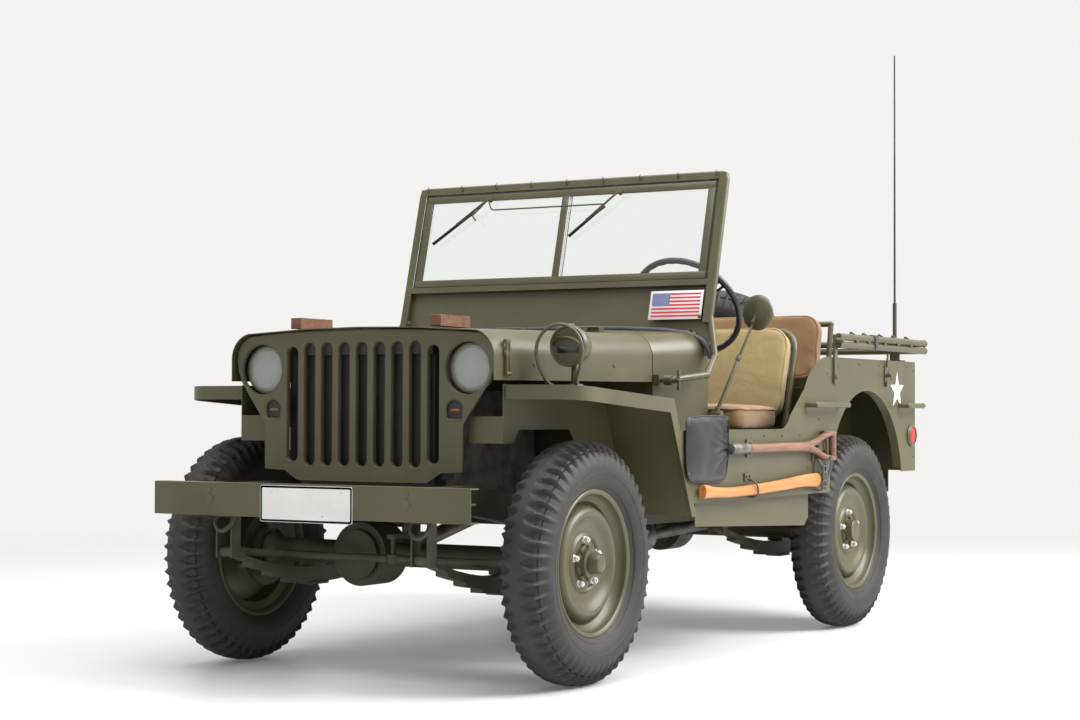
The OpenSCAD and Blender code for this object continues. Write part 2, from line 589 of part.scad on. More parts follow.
module cowl() color(olive) {
    difference() {
        union() {
            // dome from the hood's rear edge to the windshield's foot
            difference() {
                cowl_solid(0, 0, 0);
                cowl_solid(sheet_t, 10, 2);
            }
            // ledge out to the body sides
            both() box([hood_rear_w / 2 - 2, fender_back(step_z - sheet_t) + 0.6, step_z - sheet_t], [half_w - sheet_t - seat_gap, cowl_y1, step_z]);
            // fire wall and instrument panel
            intersection() {
                cowl_solid(1, 300, 0);
                union() {
                    front_plate(cowl_y0 + 2, sheet_t) translate([-700, floor_z + seat_gap]) square([1400, 600]);
                    front_plate(cowl_y1 - 60, sheet_t) translate([-700, 900]) square([1400, 300]);
                }
            }
        }
        rod(wheel_c, wheel_c + 900 * col, 52);
    }
    // hinge knuckles beside the hood's own, and the windshield's pivot pins
    for (x = hinge_x) {
        translate([x + 60 + seat_gap, hinge_y, hinge_z]) rotate([0, 90, 0]) cylinder(h = 40, r = 5);
        box([x + 60 + seat_gap, hinge_y, hood_rear_z - 16], [x + 100 + seat_gap, cowl_y0 + 30, hinge_z]);
    }
    both() {
        box([545, cowl_y0 + 1, pivot_z - 18], [572, cowl_y0 + 34, pivot_z + 18]);
        translate([571, pivot_y, pivot_z]) rotate([0, 90, 0]) cylinder(h = 50, r = pivot_r);
    }
}
function shield_y(z) = shield_y0 + (z - shield_z0) * tan(shield_lean);
// frame for the windshield's plane: x across, second axis up the slope
module on_shield() translate([0, shield_y0, shield_z0]) rotate([90 - shield_lean, 0, 0]) children();
shield_len = (shield_top_z - shield_z0) / cos(shield_lean);
post_w = 24;
glass_low = (hinge_line - shield_z0) / cos(shield_lean);
module windshield_frame() color(olive) {
    on_shield() {
        translate([0, 0, -shield_t / 2]) difference() {
            translate([-shield_half_w, 0, 0]) cube([2 * shield_half_w, shield_len, shield_t]);
            translate([-shield_half_w + post_w, glass_low, -1]) cube([2 * (shield_half_w - post_w), shield_len - glass_low - post_w, shield_t + 2]);
            translate([-shield_half_w + post_w, -1, 3]) cube([2 * (shield_half_w - post_w), glass_low - 20, shield_t]);
        }
        // skirt sheet that follows the cowl's dome
        translate([0, 0, -shield_t / 2]) linear_extrude(3) difference() {
            translate([-shield_half_w, -112]) square([2 * shield_half_w, 114]);
            translate([0, -shield_z0]) hood_section(cowl_half - 2, cowl_top_z + 8, 900, 0);
        }
    }
    both() {
        difference() {
            union() {
                bar([[pivot_x, pivot_y, pivot_z], [shield_half_w + 30, fa + 800, 938], [shield_half_w + 32, shield_y(1000), 1000],
                     [shield_half_w - 6, shield_y(1150), 1150]], 22);
                translate([pivot_x - 14, pivot_y, pivot_z]) rotate([0, 90, 0]) cylinder(h = 28, r = 17);
            }
            translate([pivot_x - 40, pivot_y, pivot_z]) rotate([0, 90, 0]) cylinder(h = 80, r = pivot_r + seat_gap);
        }
    }
}
module windshield_glass() color([0.7, 0.75, 0.75, 0.4]) on_shield() {
    w = shield_half_w - 24 - seat_gap;
    difference() {
        translate([-w, glass_low + seat_gap, -9]) cube([2 * w, shield_len - glass_low - 24 - 2 * seat_gap, 18]);
        for (s = [-1, 1], z = [-14, 3]) translate([s * (w / 2 + 2) - (w / 2 - 18), glass_low + 24, z])
            cube([w - 36, shield_len - glass_low - 24 - 48, 11]);
    }
}

// ---------- tub ----------
curve_low = [fa + 1215, step_z + 92];
side_outline = concat(
    [[fender_back(sill_z) + 0.5, sill_z], [fender_back(step_z) + 0.5, step_z]],
    arc(curve_low, 92, -90, -30, 5), arc([fa + 1632, tub_top_z - 250], 250, 148, 90, 7),
    [[tail_y, tub_top_z], [tail_y, 584], [arch_y, 584], [arch_y, sill_z]]);
module side_panel_shape() difference() {
    union() {
        side_plate(half_w - sheet_t, sheet_t) polygon(side_outline);
        // top edge rail and the lip at the rear opening
        box([half_w - 26, fa + 1700, tub_top_z - 4], [half_w - sheet_t + eps, tail_y, tub_top_z]);
        difference() {
            translate([half_w - 34, arch_y, arch_z]) rotate([0, 90, 0]) cylinder(h = 33, r = arch_r + 3);
            box([0, ra - 600, 0], [1000, ra + 600, 600]);
        }
        // lower skirt under the step
        box([half_w - 28, fa + 640, sill_z], [half_w - sheet_t + eps, fa + 1505, sill_z + 4]);
        side_plate(half_w - 28, sheet_t) polygon([[fa + 600, 447], [fa + 1470, 412], [fa + 1505, 440],
            [fa + 1505, sill_z + 4], [fa + 600, sill_z + 4]]);
    }
    translate([half_w - 60, arch_y, arch_z]) rotate([0, 90, 0]) cylinder(h = 90, r = arch_r);
}
module side_panels() color(olive) both() side_panel_shape();
module rear_panel() color(olive) {
    box([-half_w, tail_y + seat_gap, 584], [half_w, tail_y + sheet_t, tub_top_z]);
    // carrier for the spare wheel
    translate([spare_c[0], tail_y + sheet_t - eps, spare_c[2]]) rotate([-90, 0, 0]) cylinder(h = spare_off + tyre_w / 2 - sheet_t + eps - seat_gap, r = 70);
}
// body mounts: [y, height of the rail's top, underside of the floor]
mount_table = [[fa + 700, 521.4, floor_z - 7], [fa + 1400, 518.4, floor_z - 7], [ra + 300, 605.3, deck_z - 3]];
floor_inner = half_w - sheet_t - seat_gap;
deck_y0 = ra - 380;                                  // front edge of the rear deck
module front_floor() color(olive) {
    difference() {
        box([-floor_inner, cowl_y0 + 2, floor_z - 8], [floor_inner, deck_y0, floor_z]);
        for (g = lever_table) translate([g[0], fa + g[1], floor_z - 20]) cylinder(h = 40, d = g[3] + 10);
    }
    both() box([430, fender_back(floor_z - 8) + 0.6, floor_z - 8], [floor_inner, cowl_y0 + 3, floor_z]);
    // hump behind the bell housing and the fuel tank under the driver's seat
    box([-130, cowl_y0 + 6, floor_z - 1], [130, fa + 700, floor_z + 110]);
    box([seat_x - 190, fa + 1150, floor_z - 1], [seat_x + 190, fa + 1480, floor_z + 150]);
    both() for (m = mount_table) if (m[0] < deck_y0) box([rail_x - 20, m[0], m[1]], [rail_x + 20, m[0] + 40, m[2]]);
}
module rear_deck() color(olive) {
    inside = box_x - 4 - seat_gap;
    box([-inside, deck_y0 + seat_gap, floor_z - 8], [inside, deck_y0 + 4, deck_z]);
    box([-inside, deck_y0 + seat_gap, deck_z - 4], [inside, tail_y - seat_gap, deck_z]);
    both() for (m = mount_table) if (m[0] > deck_y0) box([rail_x - 20, m[0], m[1]], [rail_x + 20, m[0] + 40, m[2]]);
}
module wheel_boxes() color(olive) both() {
    // inner wall, top and front wall
    side_plate(box_x - 4, 4) polygon([[deck_y0 - 20, floor_z + seat_gap], [deck_y0 - 20, box_z], [tail_y - seat_gap, box_z],
        [tail_y - seat_gap, deck_z - 4], [deck_y0 + 3, deck_z - 4], [deck_y0 + 3, floor_z + seat_gap]]);
    box([box_x - 1, deck_y0 - 20, box_z - 4], [floor_inner, tail_y - seat_gap, box_z]);
    box([box_x - 1, deck_y0 - 20, floor_z + seat_gap], [floor_inner, deck_y0 - 16, box_z]);
}

// ---------- seats ----------
tube = 24;
foot_z = floor_z + 12;
seat_y0 = fa + 1110;
seat_y1 = fa + 1500;
seat_low = seat_z - pad_t - 40;                     // rear end of the seat tubes
back_top = 1110;
back_run = 120;
back_lean = atan(back_run / (back_top - seat_low));
// frame for a front seat's back: across, up the tubes, forward
module on_back(x) translate([x, seat_y1, seat_low]) rotate([90 - back_lean, 0, 0]) children();
module seat_frame_shape(x) {
    w = seat_w / 2 + 14;
    front_z = seat_z - pad_t - 10 - seat_gap;
    for (s = [-1, 1]) {
        bar([[x + s * w, seat_y0, foot_z], [x + s * w, seat_y0 + 10, front_z], [x + s * w, seat_y1, seat_low],
             [x + s * w, seat_y1 + back_run, back_top]], tube);
        rod([x + s * w - 20, seat_y0, foot_z], [x + s * w + 20, seat_y0, foot_z], tube - 1);
        rod([x + s * w, seat_y1, floor_z + seat_gap], [x + s * w, seat_y1, seat_low], tube - 4);
    }
    rod([x - w, seat_y0 + 10, front_z], [x + w, seat_y0 + 10, front_z], 20);
    rod([x - w, seat_y1, seat_low], [x + w, seat_y1, seat_low], 20);
    on_back(x) for (v = [180, 350]) rod([-w, v, 0], [w, v, 0], 20);
}
module cushion_shape(x) {
    translate([x, 0, seat_z - pad_t]) pad(seat_w - 10, fa + 1122, fa + 1486, pad_t, 50);
    on_back(x) translate([0, 270, 10 + seat_gap]) linear_extrude(60) round_rect(seat_w - 20, 270, 60);
}
module driver_seat_frame() color(olive) seat_frame_shape(seat_x);
module driver_cushions() color(canvas) cushion_shape(seat_x);
module passenger_seat_frame() color(olive) seat_frame_shape(-seat_x);
module passenger_cushions() color(canvas) cushion_shape(-seat_x);
bench_y = ra - 100;
bench_z = 790;
bench_pin = [bench_y + 400, 810];
bench_pin_r = 6;
bench_lean = 9.5;
module rear_seat_frame() color(olive) {
    for (s = [-1, 1]) bar([[s * 400, bench_y, deck_z + seat_gap], [s * 400, bench_y, bench_z], [s * 400, bench_y + 370, bench_z],
                           [s * 400, bench_y + 370, deck_z + seat_gap]], 22);
    for (y = [bench_y, bench_y + 370]) rod([-400, y, bench_z], [400, y, bench_z], 20);
    both() {
        // ear and pin that carry the folding back
        box([400, bench_y + 355, bench_z - 8], [406, bench_pin[0] + 12, bench_pin[1] + 12]);
        rod([405, bench_pin[0], bench_pin[1]], [446, bench_pin[0], bench_pin[1]], 2 * bench_pin_r);
    }
}
module rear_cushion() color(canvas) translate([0, 0, bench_z + 12.5]) pad(bench_w - 30, bench_y - 10, bench_y + 350, pad_t - 10, 50);
module on_bench_back() translate([0, bench_pin[0], bench_pin[1]]) rotate([90 - bench_lean, 0, 0]) children();
module rear_back_frame() color(olive) difference() {
    x = bench_w / 2 - 12;
    union() {
        on_bench_back() {
            bar([[-x, 0, 0], [-x, 365, 0], [x, 365, 0], [x, 0, 0]], 22);
            rod([-x, 190, 0], [x, 190, 0], 20);
        }
        both() translate([x - 12, bench_pin[0], bench_pin[1]]) rotate([0, 90, 0]) cylinder(h = 24, r = 15);
    }
    for (s = [-1, 1]) translate([s * x - 30, bench_pin[0], bench_pin[1]]) rotate([0, 90, 0]) cylinder(h = 60, r = bench_pin_r + seat_gap);
}
module rear_back_cushion() color(canvas)
    on_bench_back() translate([0, 262, 11 + seat_gap]) linear_extrude(68) round_rect(bench_w - 90, 225, 60);

// ---------- fittings ----------
col = [0, -cos(wheel_lean), -sin(wheel_lean)];
module steering_column() color(dark_olive) {
    rod(wheel_c + (26 + seat_gap) * col, wheel_c + 760 * col, 40);
    // gear case on the frame rail
    box([345, fa + 540, 522.2], [420, fa + 605, 745]);
}
module steering_wheel() color(rubber) translate(wheel_c) rotate([wheel_lean - 90, 0, 0]) {
    rotate_extrude() translate([steer_r, 0]) circle(d = 24);
    translate([0, 0, -26]) cylinder(h = 44, d = 70);
    for (i = [0:2]) rotate([0, 0, 90 + i * 120]) translate([20, 0, 0]) rotate([0, 90, 0]) cylinder(h = steer_r - 20, d = 10);
}
module mirror_shape() {
    c = [724, fa + 1050, 1153];
    box([cowl_half + seat_gap, cowl_y1 - 18, 800], [660, cowl_y1 + 16, 836]);
    rod([650, cowl_y1 + 6, 818], c + [0, 8, -20], 12);
    translate(c) rotate([90, 0, 0]) translate([0, 0, -10]) cylinder(h = 16, d = 122);
}
module side_mirror() color(olive) mirror_shape();
module top_bows() color(olive) {
    x = half_w + 16;
    for (z = [1063, 1092]) bar([[x, fa + 1685, z], [x, tail_y + 62, z], [-x, tail_y + 62, z], [-x, fa + 1685, z]], 26);
    both() box([half_w + seat_gap, fa + 1672, 920], [half_w + 8, fa + 1700, 1100]);
}
module antenna() color(dark_olive) {
    a = [700, fa + 2390, tub_top_z + seat_gap];
    box([a[0] - 22, a[1] - 25, a[2]], [half_w - sheet_t, a[1] + 25, a[2] + 4]);
    translate(a) cylinder(h = 34, d = 40);
    translate(a + [0, 0, 30]) cylinder(h = 200, d = 16);
    translate(a + [0, 0, 225]) cylinder(h = 990, d1 = 9, d2 = 6);
}
module hand_tools() color(wood) {
    x = half_w + seat_gap;
    // shovel: blade, shaft and grip
    box([x + 12, fa + 470, 590], [x + 18, fa + 790, 800]);
    rod([x + 17, fa + 780, 694], [x + 17, fa + 1480, 694], 30);
    box([x + 7, fa + 1470, 640], [x + 27, fa + 1640, 738]);
    // axe handle
    rod([x + 19, fa + 560, 558], [x + 19, fa + 1540, 572], 34);
    // brackets on the body side
    for (y = [fa + 950, fa + 1380]) box([x, y, 545], [x + 14, y + 34, 712]);
}
// grab handles: [y of the front foot, length]
handle_table = [[fa + 1430, 290], [fa + 2335, 160]];
module side_handles() color(olive) both() for (h = handle_table)
    bar([[half_w + seat_gap, h[0], 842], [half_w + 40, h[0], 842], [half_w + 40, h[0] + h[1], 842],
         [half_w + seat_gap, h[0] + h[1], 842]], 20);
module reflectors() color([0.6, 0.1, 0.1]) both()
    translate([half_w + seat_gap, fa + 2464, 725]) rotate([0, 90, 0]) cylinder(h = 14, d = 84);

left_rail();
right_rail();
frame_ties();
front_bumper();
number_plate();
grille();
radiator();
front_lamps();
fenders();
fender_lamp();
engine_block();
gearbox();
propshafts();
exhaust();
cowl();
front_floor();
rear_deck();
wheel_boxes();
side_panels();
rear_panel();
driver_seat_frame();
driver_cushions();
passenger_seat_frame();
passenger_cushions();
rear_seat_frame();
rear_cushion();
rear_back_frame();
rear_back_cushion();
steering_column();
steering_wheel();
side_mirror();
front_axle();
rear_axle();
leaf_springs();
spare_rim();
spare_tyre();
rear_bumpers();
top_bows();
antenna();
hand_tools();
side_handles();
reflectors();
hood();
hood_blocks();
windshield_frame();
windshield_glass();
left_knuckle();
right_knuckle();
tie_rod();
bell_crank();
front_left_rim();
front_left_tyre();
front_right_rim();
front_right_tyre();
rear_left_rim();
rear_left_tyre();
rear_right_rim();
rear_right_tyre();
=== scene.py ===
import math

import bmesh
import bpy
from mathutils import Matrix, Vector, noise


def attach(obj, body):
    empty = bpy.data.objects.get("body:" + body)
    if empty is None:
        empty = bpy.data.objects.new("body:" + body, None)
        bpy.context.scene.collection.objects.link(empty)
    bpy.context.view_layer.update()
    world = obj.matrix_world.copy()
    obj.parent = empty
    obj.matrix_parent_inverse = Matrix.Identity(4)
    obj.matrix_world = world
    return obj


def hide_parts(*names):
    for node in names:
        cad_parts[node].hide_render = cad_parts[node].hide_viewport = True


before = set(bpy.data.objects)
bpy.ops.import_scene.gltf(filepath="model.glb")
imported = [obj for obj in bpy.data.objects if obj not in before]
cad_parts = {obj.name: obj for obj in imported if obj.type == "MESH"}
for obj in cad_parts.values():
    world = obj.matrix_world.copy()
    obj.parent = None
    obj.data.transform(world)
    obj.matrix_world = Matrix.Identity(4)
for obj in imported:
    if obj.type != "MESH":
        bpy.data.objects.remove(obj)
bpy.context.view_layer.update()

# ---------------------------------------------------------------- camera
# Three-quarter front view from knee height, on the car's left side, with a short telephoto lens.
cam_data = bpy.data.cameras.new("camera")
cam_data.sensor_width = 36
cam_data.lens = 68.89
cam_data.clip_end = 200
camera = bpy.data.objects.new("camera", cam_data)
bpy.context.scene.collection.objects.link(camera)
YAW = math.radians(30.804)
PITCH = math.radians(1.415)
ROLL = math.radians(0.201)
look = Vector((-math.sin(YAW) * math.cos(PITCH), math.cos(YAW) * math.cos(PITCH), math.sin(PITCH)))
camera.location = (3.683, -6.4815, 0.816)
camera.rotation_mode = "QUATERNION"
level = look.to_track_quat("-Z", "Y")
camera.rotation_quaternion = level @ Matrix.Rotation(ROLL, 3, "Z").to_quaternion()
bpy.context.scene.camera = camera

# ---------------------------------------------------------------- studio
# A white studio: a wide pale floor under a white room. The main light is one big soft source high
# on the car's left, with a second soft source overhead and a weak fill from the front.
def link(obj):
    """Puts a new object in the scene."""
    bpy.context.scene.collection.objects.link(obj)
    return obj


def mesh_object(name, verts, faces, smooth=True):
    """An object from plain lists of corners and faces."""
    mesh = bpy.data.meshes.new(name)
    mesh.from_pydata([tuple(v) for v in verts], [], faces)
    mesh.validate()
    obj = link(bpy.data.objects.new(name, mesh))
    if smooth:
        mesh.shade_smooth()
    return obj


def new_node(tree, kind, inputs=None, **settings):
    """Adds a shader node with its settings and the values of its inputs."""
    node = tree.nodes.new("ShaderNode" + kind)
    for key, value in settings.items():
        setattr(node, key, value)
    for key, value in (inputs or {}).items():
        node.inputs[key].default_value = value
    return node


def soft_material(name, low, high, rough, scale=8.0, bump=0.05, metal=0.0, fine=220.0):
    """Two close tones mixed by noise, with uneven gloss and a fine surface grain."""
    m = bpy.data.materials.new(name)
    m.use_nodes = True
    tree = m.node_tree
    wire = tree.links.new
    bsdf = tree.nodes["Principled BSDF"]
    bsdf.inputs["Metallic"].default_value = metal
    coord = new_node(tree, "TexCoord")
    big = new_node(tree, "TexNoise", {"Scale": scale, "Detail": 4.0})
    wire(coord.outputs["Object"], big.inputs["Vector"])
    ramp = new_node(tree, "ValToRGB")
    for i, (position, color) in enumerate(((0.35, low), (0.68, high))):
        ramp.color_ramp.elements[i].position = position
        ramp.color_ramp.elements[i].color = (*color, 1)
    wire(big.outputs["Fac"], ramp.inputs["Fac"])
    wire(ramp.outputs["Color"], bsdf.inputs["Base Color"])
    gloss = new_node(tree, "MapRange", {"From Min": 0.3, "From Max": 0.7, "To Min": max(0.02, rough - 0.07),
                                        "To Max": min(1.0, rough + 0.08)})
    wire(big.outputs["Fac"], gloss.inputs["Value"])
    wire(gloss.outputs["Result"], bsdf.inputs["Roughness"])
    grain = new_node(tree, "TexNoise", {"Scale": fine, "Detail": 2.0})
    wire(coord.outputs["Object"], grain.inputs["Vector"])
    lift = new_node(tree, "Bump", {"Strength": bump, "Distance": 0.001})
    wire(grain.outputs["Fac"], lift.inputs["Height"])
    wire(lift.outputs["Normal"], bsdf.inputs["Normal"])
    return m


def seen_rays(tree):
    """Is 1 for rays that the eye follows, straight, through glass or off gloss, and 0 for light."""
    path = new_node(tree, "LightPath")
    total = path.outputs["Is Camera Ray"]
    for kind in ("Is Transmission Ray", "Is Glossy Ray"):
        most = new_node(tree, "Math", operation="MAXIMUM")
        tree.links.new(total, most.inputs[0])
        tree.links.new(path.outputs[kind], most.inputs[1])
        total = most.outputs["Value"]
    return total


STUDIO_TONE = (0.9, 0.89, 0.88, 1)
FLOOR_REACH = 60
floor_mat = soft_material("studio_white", (0.8, 0.795, 0.785), (0.83, 0.825, 0.815), 0.42, 0.6, 0.01)
studio_floor = mesh_object("studio_floor", [(x * FLOOR_REACH, y * FLOOR_REACH, 0) for x, y in
                                            ((-1, -1), (1, -1), (1, 1), (-1, 1))], [(0, 1, 2, 3)])
floor_tree = floor_mat.node_tree
wire = floor_tree.links.new
glow = new_node(floor_tree, "Emission", {"Color": STUDIO_TONE, "Strength": 1.0})
where = new_node(floor_tree, "TexCoord")
reach = new_node(floor_tree, "VectorMath", operation="LENGTH")
wire(where.outputs["Object"], reach.inputs[0])
far = new_node(floor_tree, "MapRange", {"From Min": 2.2, "From Max": 8.0, "To Min": 0.1, "To Max": 1.0},
               interpolation_type="SMOOTHSTEP")
wire(reach.outputs["Value"], far.inputs["Value"])
share = new_node(floor_tree, "Math", operation="MULTIPLY")
wire(far.outputs["Result"], share.inputs[0])
wire(seen_rays(floor_tree), share.inputs[1])
blend_floor = new_node(floor_tree, "MixShader")
wire(share.outputs["Value"], blend_floor.inputs["Fac"])
wire(floor_tree.nodes["Principled BSDF"].outputs["BSDF"], blend_floor.inputs[1])
wire(glow.outputs["Emission"], blend_floor.inputs[2])
wire(blend_floor.outputs["Shader"], floor_tree.nodes["Material Output"].inputs["Surface"])
studio_floor.data.materials.append(floor_mat)


def lamp(name, place, aim, size_x, size_y, power, tone=(1, 1, 1)):
    """A soft rectangular lamp."""
    data = bpy.data.lights.new(name, "AREA")
    data.shape = "RECTANGLE"
    data.size = size_x
    data.size_y = size_y
    data.energy = power
    data.color = tone
    obj = link(bpy.data.objects.new(name, data))
    obj.location = place
    obj.rotation_mode = "QUATERNION"
    obj.rotation_quaternion = (Vector(aim) - Vector(place)).to_track_quat("-Z", "Y")
    return obj


lamp("key_left", (5.6, 2.4, 5.2), (0.0, 0.2, 0.5), 5.0, 4.0, 900)
lamp("top_soft", (0.6, -0.9, 6.0), (0.0, 0.0, 0.0), 6.0, 5.0, 430)
lamp("front_fill", (-3.0, -8.0, 3.5), (0.0, -1.0, 0.6), 5.0, 3.5, 30)
world = bpy.data.worlds.new("studio_air")
bpy.context.scene.world = world
world.use_nodes = True
air = world.node_tree
wire = air.links.new
room = air.nodes["Background"]
room.inputs["Color"].default_value = (0.93, 0.93, 0.94, 1)
room.inputs["Strength"].default_value = 0.44
backdrop = new_node(air, "Background", {"Color": STUDIO_TONE, "Strength": 1.0})
both = new_node(air, "MixShader")
wire(seen_rays(air), both.inputs["Fac"])
wire(room.outputs["Background"], both.inputs[1])
wire(backdrop.outputs["Background"], both.inputs[2])
wire(both.outputs["Shader"], air.nodes["World Output"].inputs["Surface"])
bpy.context.scene.view_settings.view_transform = "Standard"

# ---------------------------------------------------------------- frame, axles and springs
# Pressed steel ladder frame with live axles and leaf springs, riveted and bolted together,
# sprayed in dull olive and darkened by oil and road dust.
SIDES = (("left", 1), ("right", -1))
FA = -1.1255
RA = 0.9065
AXLE_Z = 0.365
OLIVE_LOW = (0.073, 0.066, 0.03)
OLIVE_HIGH = (0.091, 0.083, 0.039)
olive = soft_material("olive_paint", OLIVE_LOW, OLIVE_HIGH, 0.4, 5.0, 0.06, 0.0, 420.0)
dark_olive = soft_material("chassis_paint", (0.03, 0.029, 0.016), (0.055, 0.052, 0.028), 0.58, 14.0, 0.25)
raw_steel = soft_material("raw_steel", (0.1, 0.095, 0.085), (0.21, 0.2, 0.18), 0.5, 22.0, 0.2, 0.7)
black_paint = soft_material("black_paint", (0.008, 0.008, 0.008), (0.016, 0.015, 0.014), 0.55, 10.0, 0.1)
bright_zinc = soft_material("bright_zinc", (0.62, 0.61, 0.58), (0.78, 0.77, 0.74), 0.28, 30.0, 0.1, 0.35)


def finish_piece(obj, body, slot_name, *mats):
    """Gives a piece its materials and the body that it moves with; the slot name is not used."""
    for m in mats:
        obj.data.materials.append(m)
    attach(obj, body)
    return obj


def olive_piece(name, bm, body="car", bevel=0.0):
    """A small olive steel piece from a bmesh."""
    return finish_piece(from_bmesh(name, bm, bevel), body, "olive_paint", olive)


def steel_piece(name, bm, body="car", bevel=0.0):
    """A small bare steel piece from a bmesh."""
    return finish_piece(from_bmesh(name, bm, bevel), body, "bare_steel", raw_steel)


def dress(node, mat, bevel=0.0015):
    """Shows a CAD node with a finish and softened edges."""
    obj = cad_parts[node]
    obj.data.materials.clear()
    obj.data.materials.append(mat)
    obj.data.shade_smooth()
    weld = obj.modifiers.new("weld", "WELD")
    weld.merge_threshold = 0.00002
    soften(obj, bevel, 40, 32)
    even_faces(obj)
    return obj


def soften(obj, bevel, bevel_angle, split_angle):
    """Rounds the edges over one angle, and keeps those over another sharp in the shading."""
    if bevel:
        edge = obj.modifiers.new("edge", "BEVEL")
        edge.width = bevel
        edge.segments = 2
        edge.limit_method = "ANGLE"
        edge.angle_limit = math.radians(bevel_angle)
    split = obj.modifiers.new("split", "EDGE_SPLIT")
    split.split_angle = math.radians(split_angle)


def even_faces(obj):
    """Lets large flat faces set the shading at their rounded edges."""
    flat = obj.modifiers.new("flat", "WEIGHTED_NORMAL")
    flat.keep_sharp = True


def shade(obj, angle):
    """Smooth shading, with the edges over the angle kept sharp."""
    obj.data.shade_smooth()
    soften(obj, 0, 0, angle)


def add_box(bm, lo, hi):
    """Adds a box between its low and high corner to a bmesh."""
    lo = Vector(lo)
    hi = Vector(hi)
    bmesh.ops.create_cube(bm, size=1, matrix=Matrix.Translation((lo + hi) / 2) @ Matrix.Diagonal((*(hi - lo),
                                                                                                  1)))


def boxes(name, table, bevel=0.001):
    """One mesh from a table of boxes, each with its low and high corner."""
    bm = bmesh.new()
    for lo, hi in table:
        add_box(bm, lo, hi)
    return from_bmesh(name, bm, bevel)


def from_bmesh(name, bm, bevel=0.0, angle=35):
    """An object from a bmesh, with rounded edges and smooth curves."""
    mesh = bpy.data.meshes.new(name)
    bm.to_mesh(mesh)
    bm.free()
    obj = link(bpy.data.objects.new(name, mesh))
    mesh.shade_smooth()
    soften(obj, bevel, angle, angle)
    return obj


def skin(bm, rings):
    """Joins each ring of corners to the next one with faces."""
    for a, b in zip(rings, rings[1:]):
        for i in range(len(a)):
            j = (i + 1) % len(a)
            bm.faces.new((a[i], a[j], b[j], b[i]))


def loft(name, bm, rings, bevel=0.0, angle=35, ends=True):
    """An object skinned over rings of corners, with its ends closed unless they stay open."""
    skin(bm, rings)
    if ends:
        bm.faces.new(rings[0])
        bm.faces.new(rings[-1])
    bmesh.ops.recalc_face_normals(bm, faces=bm.faces)
    return from_bmesh(name, bm, bevel, angle)


def spread(radius, sides, k, start=0.0):
    """The k-th of so many points that are spread evenly round a circle."""
    a = start + 2 * math.pi * k / sides
    return radius * math.cos(a), radius * math.sin(a)


def turned(bm, section, sides=72, side=1, center=(0, 0, 0)):
    """Adds a section of (along, radius) points turned about the X axis."""
    rings = []
    for x, r in section:
        ring = [spread(r, sides, s) for s in range(sides)]
        rings.append([bm.verts.new((center[0] + side * x, center[1] + c, center[2] + s)) for c, s in ring])
    skin(bm, rings)
    return rings


def along(a, b):
    """Matrix that takes +Z from the origin onto the line from a to b."""
    a = Vector(a)
    b = Vector(b)
    return Matrix.Translation(a) @ (b - a).to_track_quat("Z", "Y").to_matrix().to_4x4()


def add_rod(bm, a, b, r0, r1=None, sides=20):
    """Adds a straight round bar to a bmesh."""
    length = (Vector(b) - Vector(a)).length
    m = along(a, b) @ Matrix.Translation((0, 0, length / 2))
    bmesh.ops.create_cone(bm, cap_ends=True, segments=sides, radius1=r0, radius2=r0 if r1 is None else r1,
                          depth=length, matrix=m)


def add_bolt(bm, at, direction, width=0.016, height=0.007):
    """Adds a hexagon bolt head with a thin washer."""
    at = Vector(at)
    d = Vector(direction).normalized()
    add_rod(bm, at, at + d * 0.0015, width * 0.66, None, 20)
    add_rod(bm, at + d * 0.0012, at + d * height, width * 0.5, None, 6)


def tube(name, points, radius, corner=0.03, sides=16, closed=False):
    """A round tube through the points, with rounded bends."""
    pts = [Vector(p) for p in points]
    line = []
    last = len(pts) - 1
    for i, p in enumerate(pts):
        if (i in (0, last) and not closed) or corner <= 0:
            line.append(p)
            continue
        a = pts[i - 1]
        b = pts[(i + 1) % len(pts)]
        cut = min(corner, (a - p).length * 0.45, (b - p).length * 0.45)
        pa = p + (a - p).normalized() * cut
        pb = p + (b - p).normalized() * cut
        for k in range(6):
            t = k / 5
            line.append(pa * (1 - t) ** 2 + p * 2 * t * (1 - t) + pb * t * t)
    curve = bpy.data.curves.new(name, "CURVE")
    curve.dimensions = "3D"
    spline = curve.splines.new("POLY")
    spline.points.add(len(line) - 1)
    for point, co in zip(spline.points, line):
        point.co = (*co, 1)
    spline.use_cyclic_u = closed
    spline.use_smooth = True
    curve.bevel_depth = radius
    curve.bevel_resolution = max(1, sides // 4)
    curve.use_fill_caps = True
    obj = link(bpy.data.objects.new(name, curve))
    return to_mesh(obj)


def to_mesh(obj):
    """Turns a curve object into a mesh object of the same name."""
    dg = bpy.context.evaluated_depsgraph_get()
    name = obj.name
    mesh = bpy.data.meshes.new_from_object(obj.evaluated_get(dg))
    old = obj.data
    bpy.data.objects.remove(obj)
    bpy.data.curves.remove(old)
    made = link(bpy.data.objects.new(name, mesh))
    shade(made, 40)
    return made


def joined(name, objs):
    """Joins several objects, with their modifiers applied, into one."""
    dg = bpy.context.evaluated_depsgraph_get()
    bm = bmesh.new()
    mats = []
    for o in objs:
        e = o.evaluated_get(dg)
        temp = bpy.data.meshes.new_from_object(e)
        temp.transform(o.matrix_world)
        slots = []
        for m in temp.materials:
            if m not in mats:
                mats.append(m)
            slots.append(mats.index(m))
        for poly in temp.polygons:
            if slots:
                poly.material_index = slots[min(poly.material_index, len(slots) - 1)]
        bm.from_mesh(temp)
        bpy.data.meshes.remove(temp)
    mesh = bpy.data.meshes.new(name)
    bm.to_mesh(mesh)
    bm.free()
    for m in mats:
        mesh.materials.append(m)
    for o in objs:
        bpy.data.objects.remove(o)
    return link(bpy.data.objects.new(name, mesh))


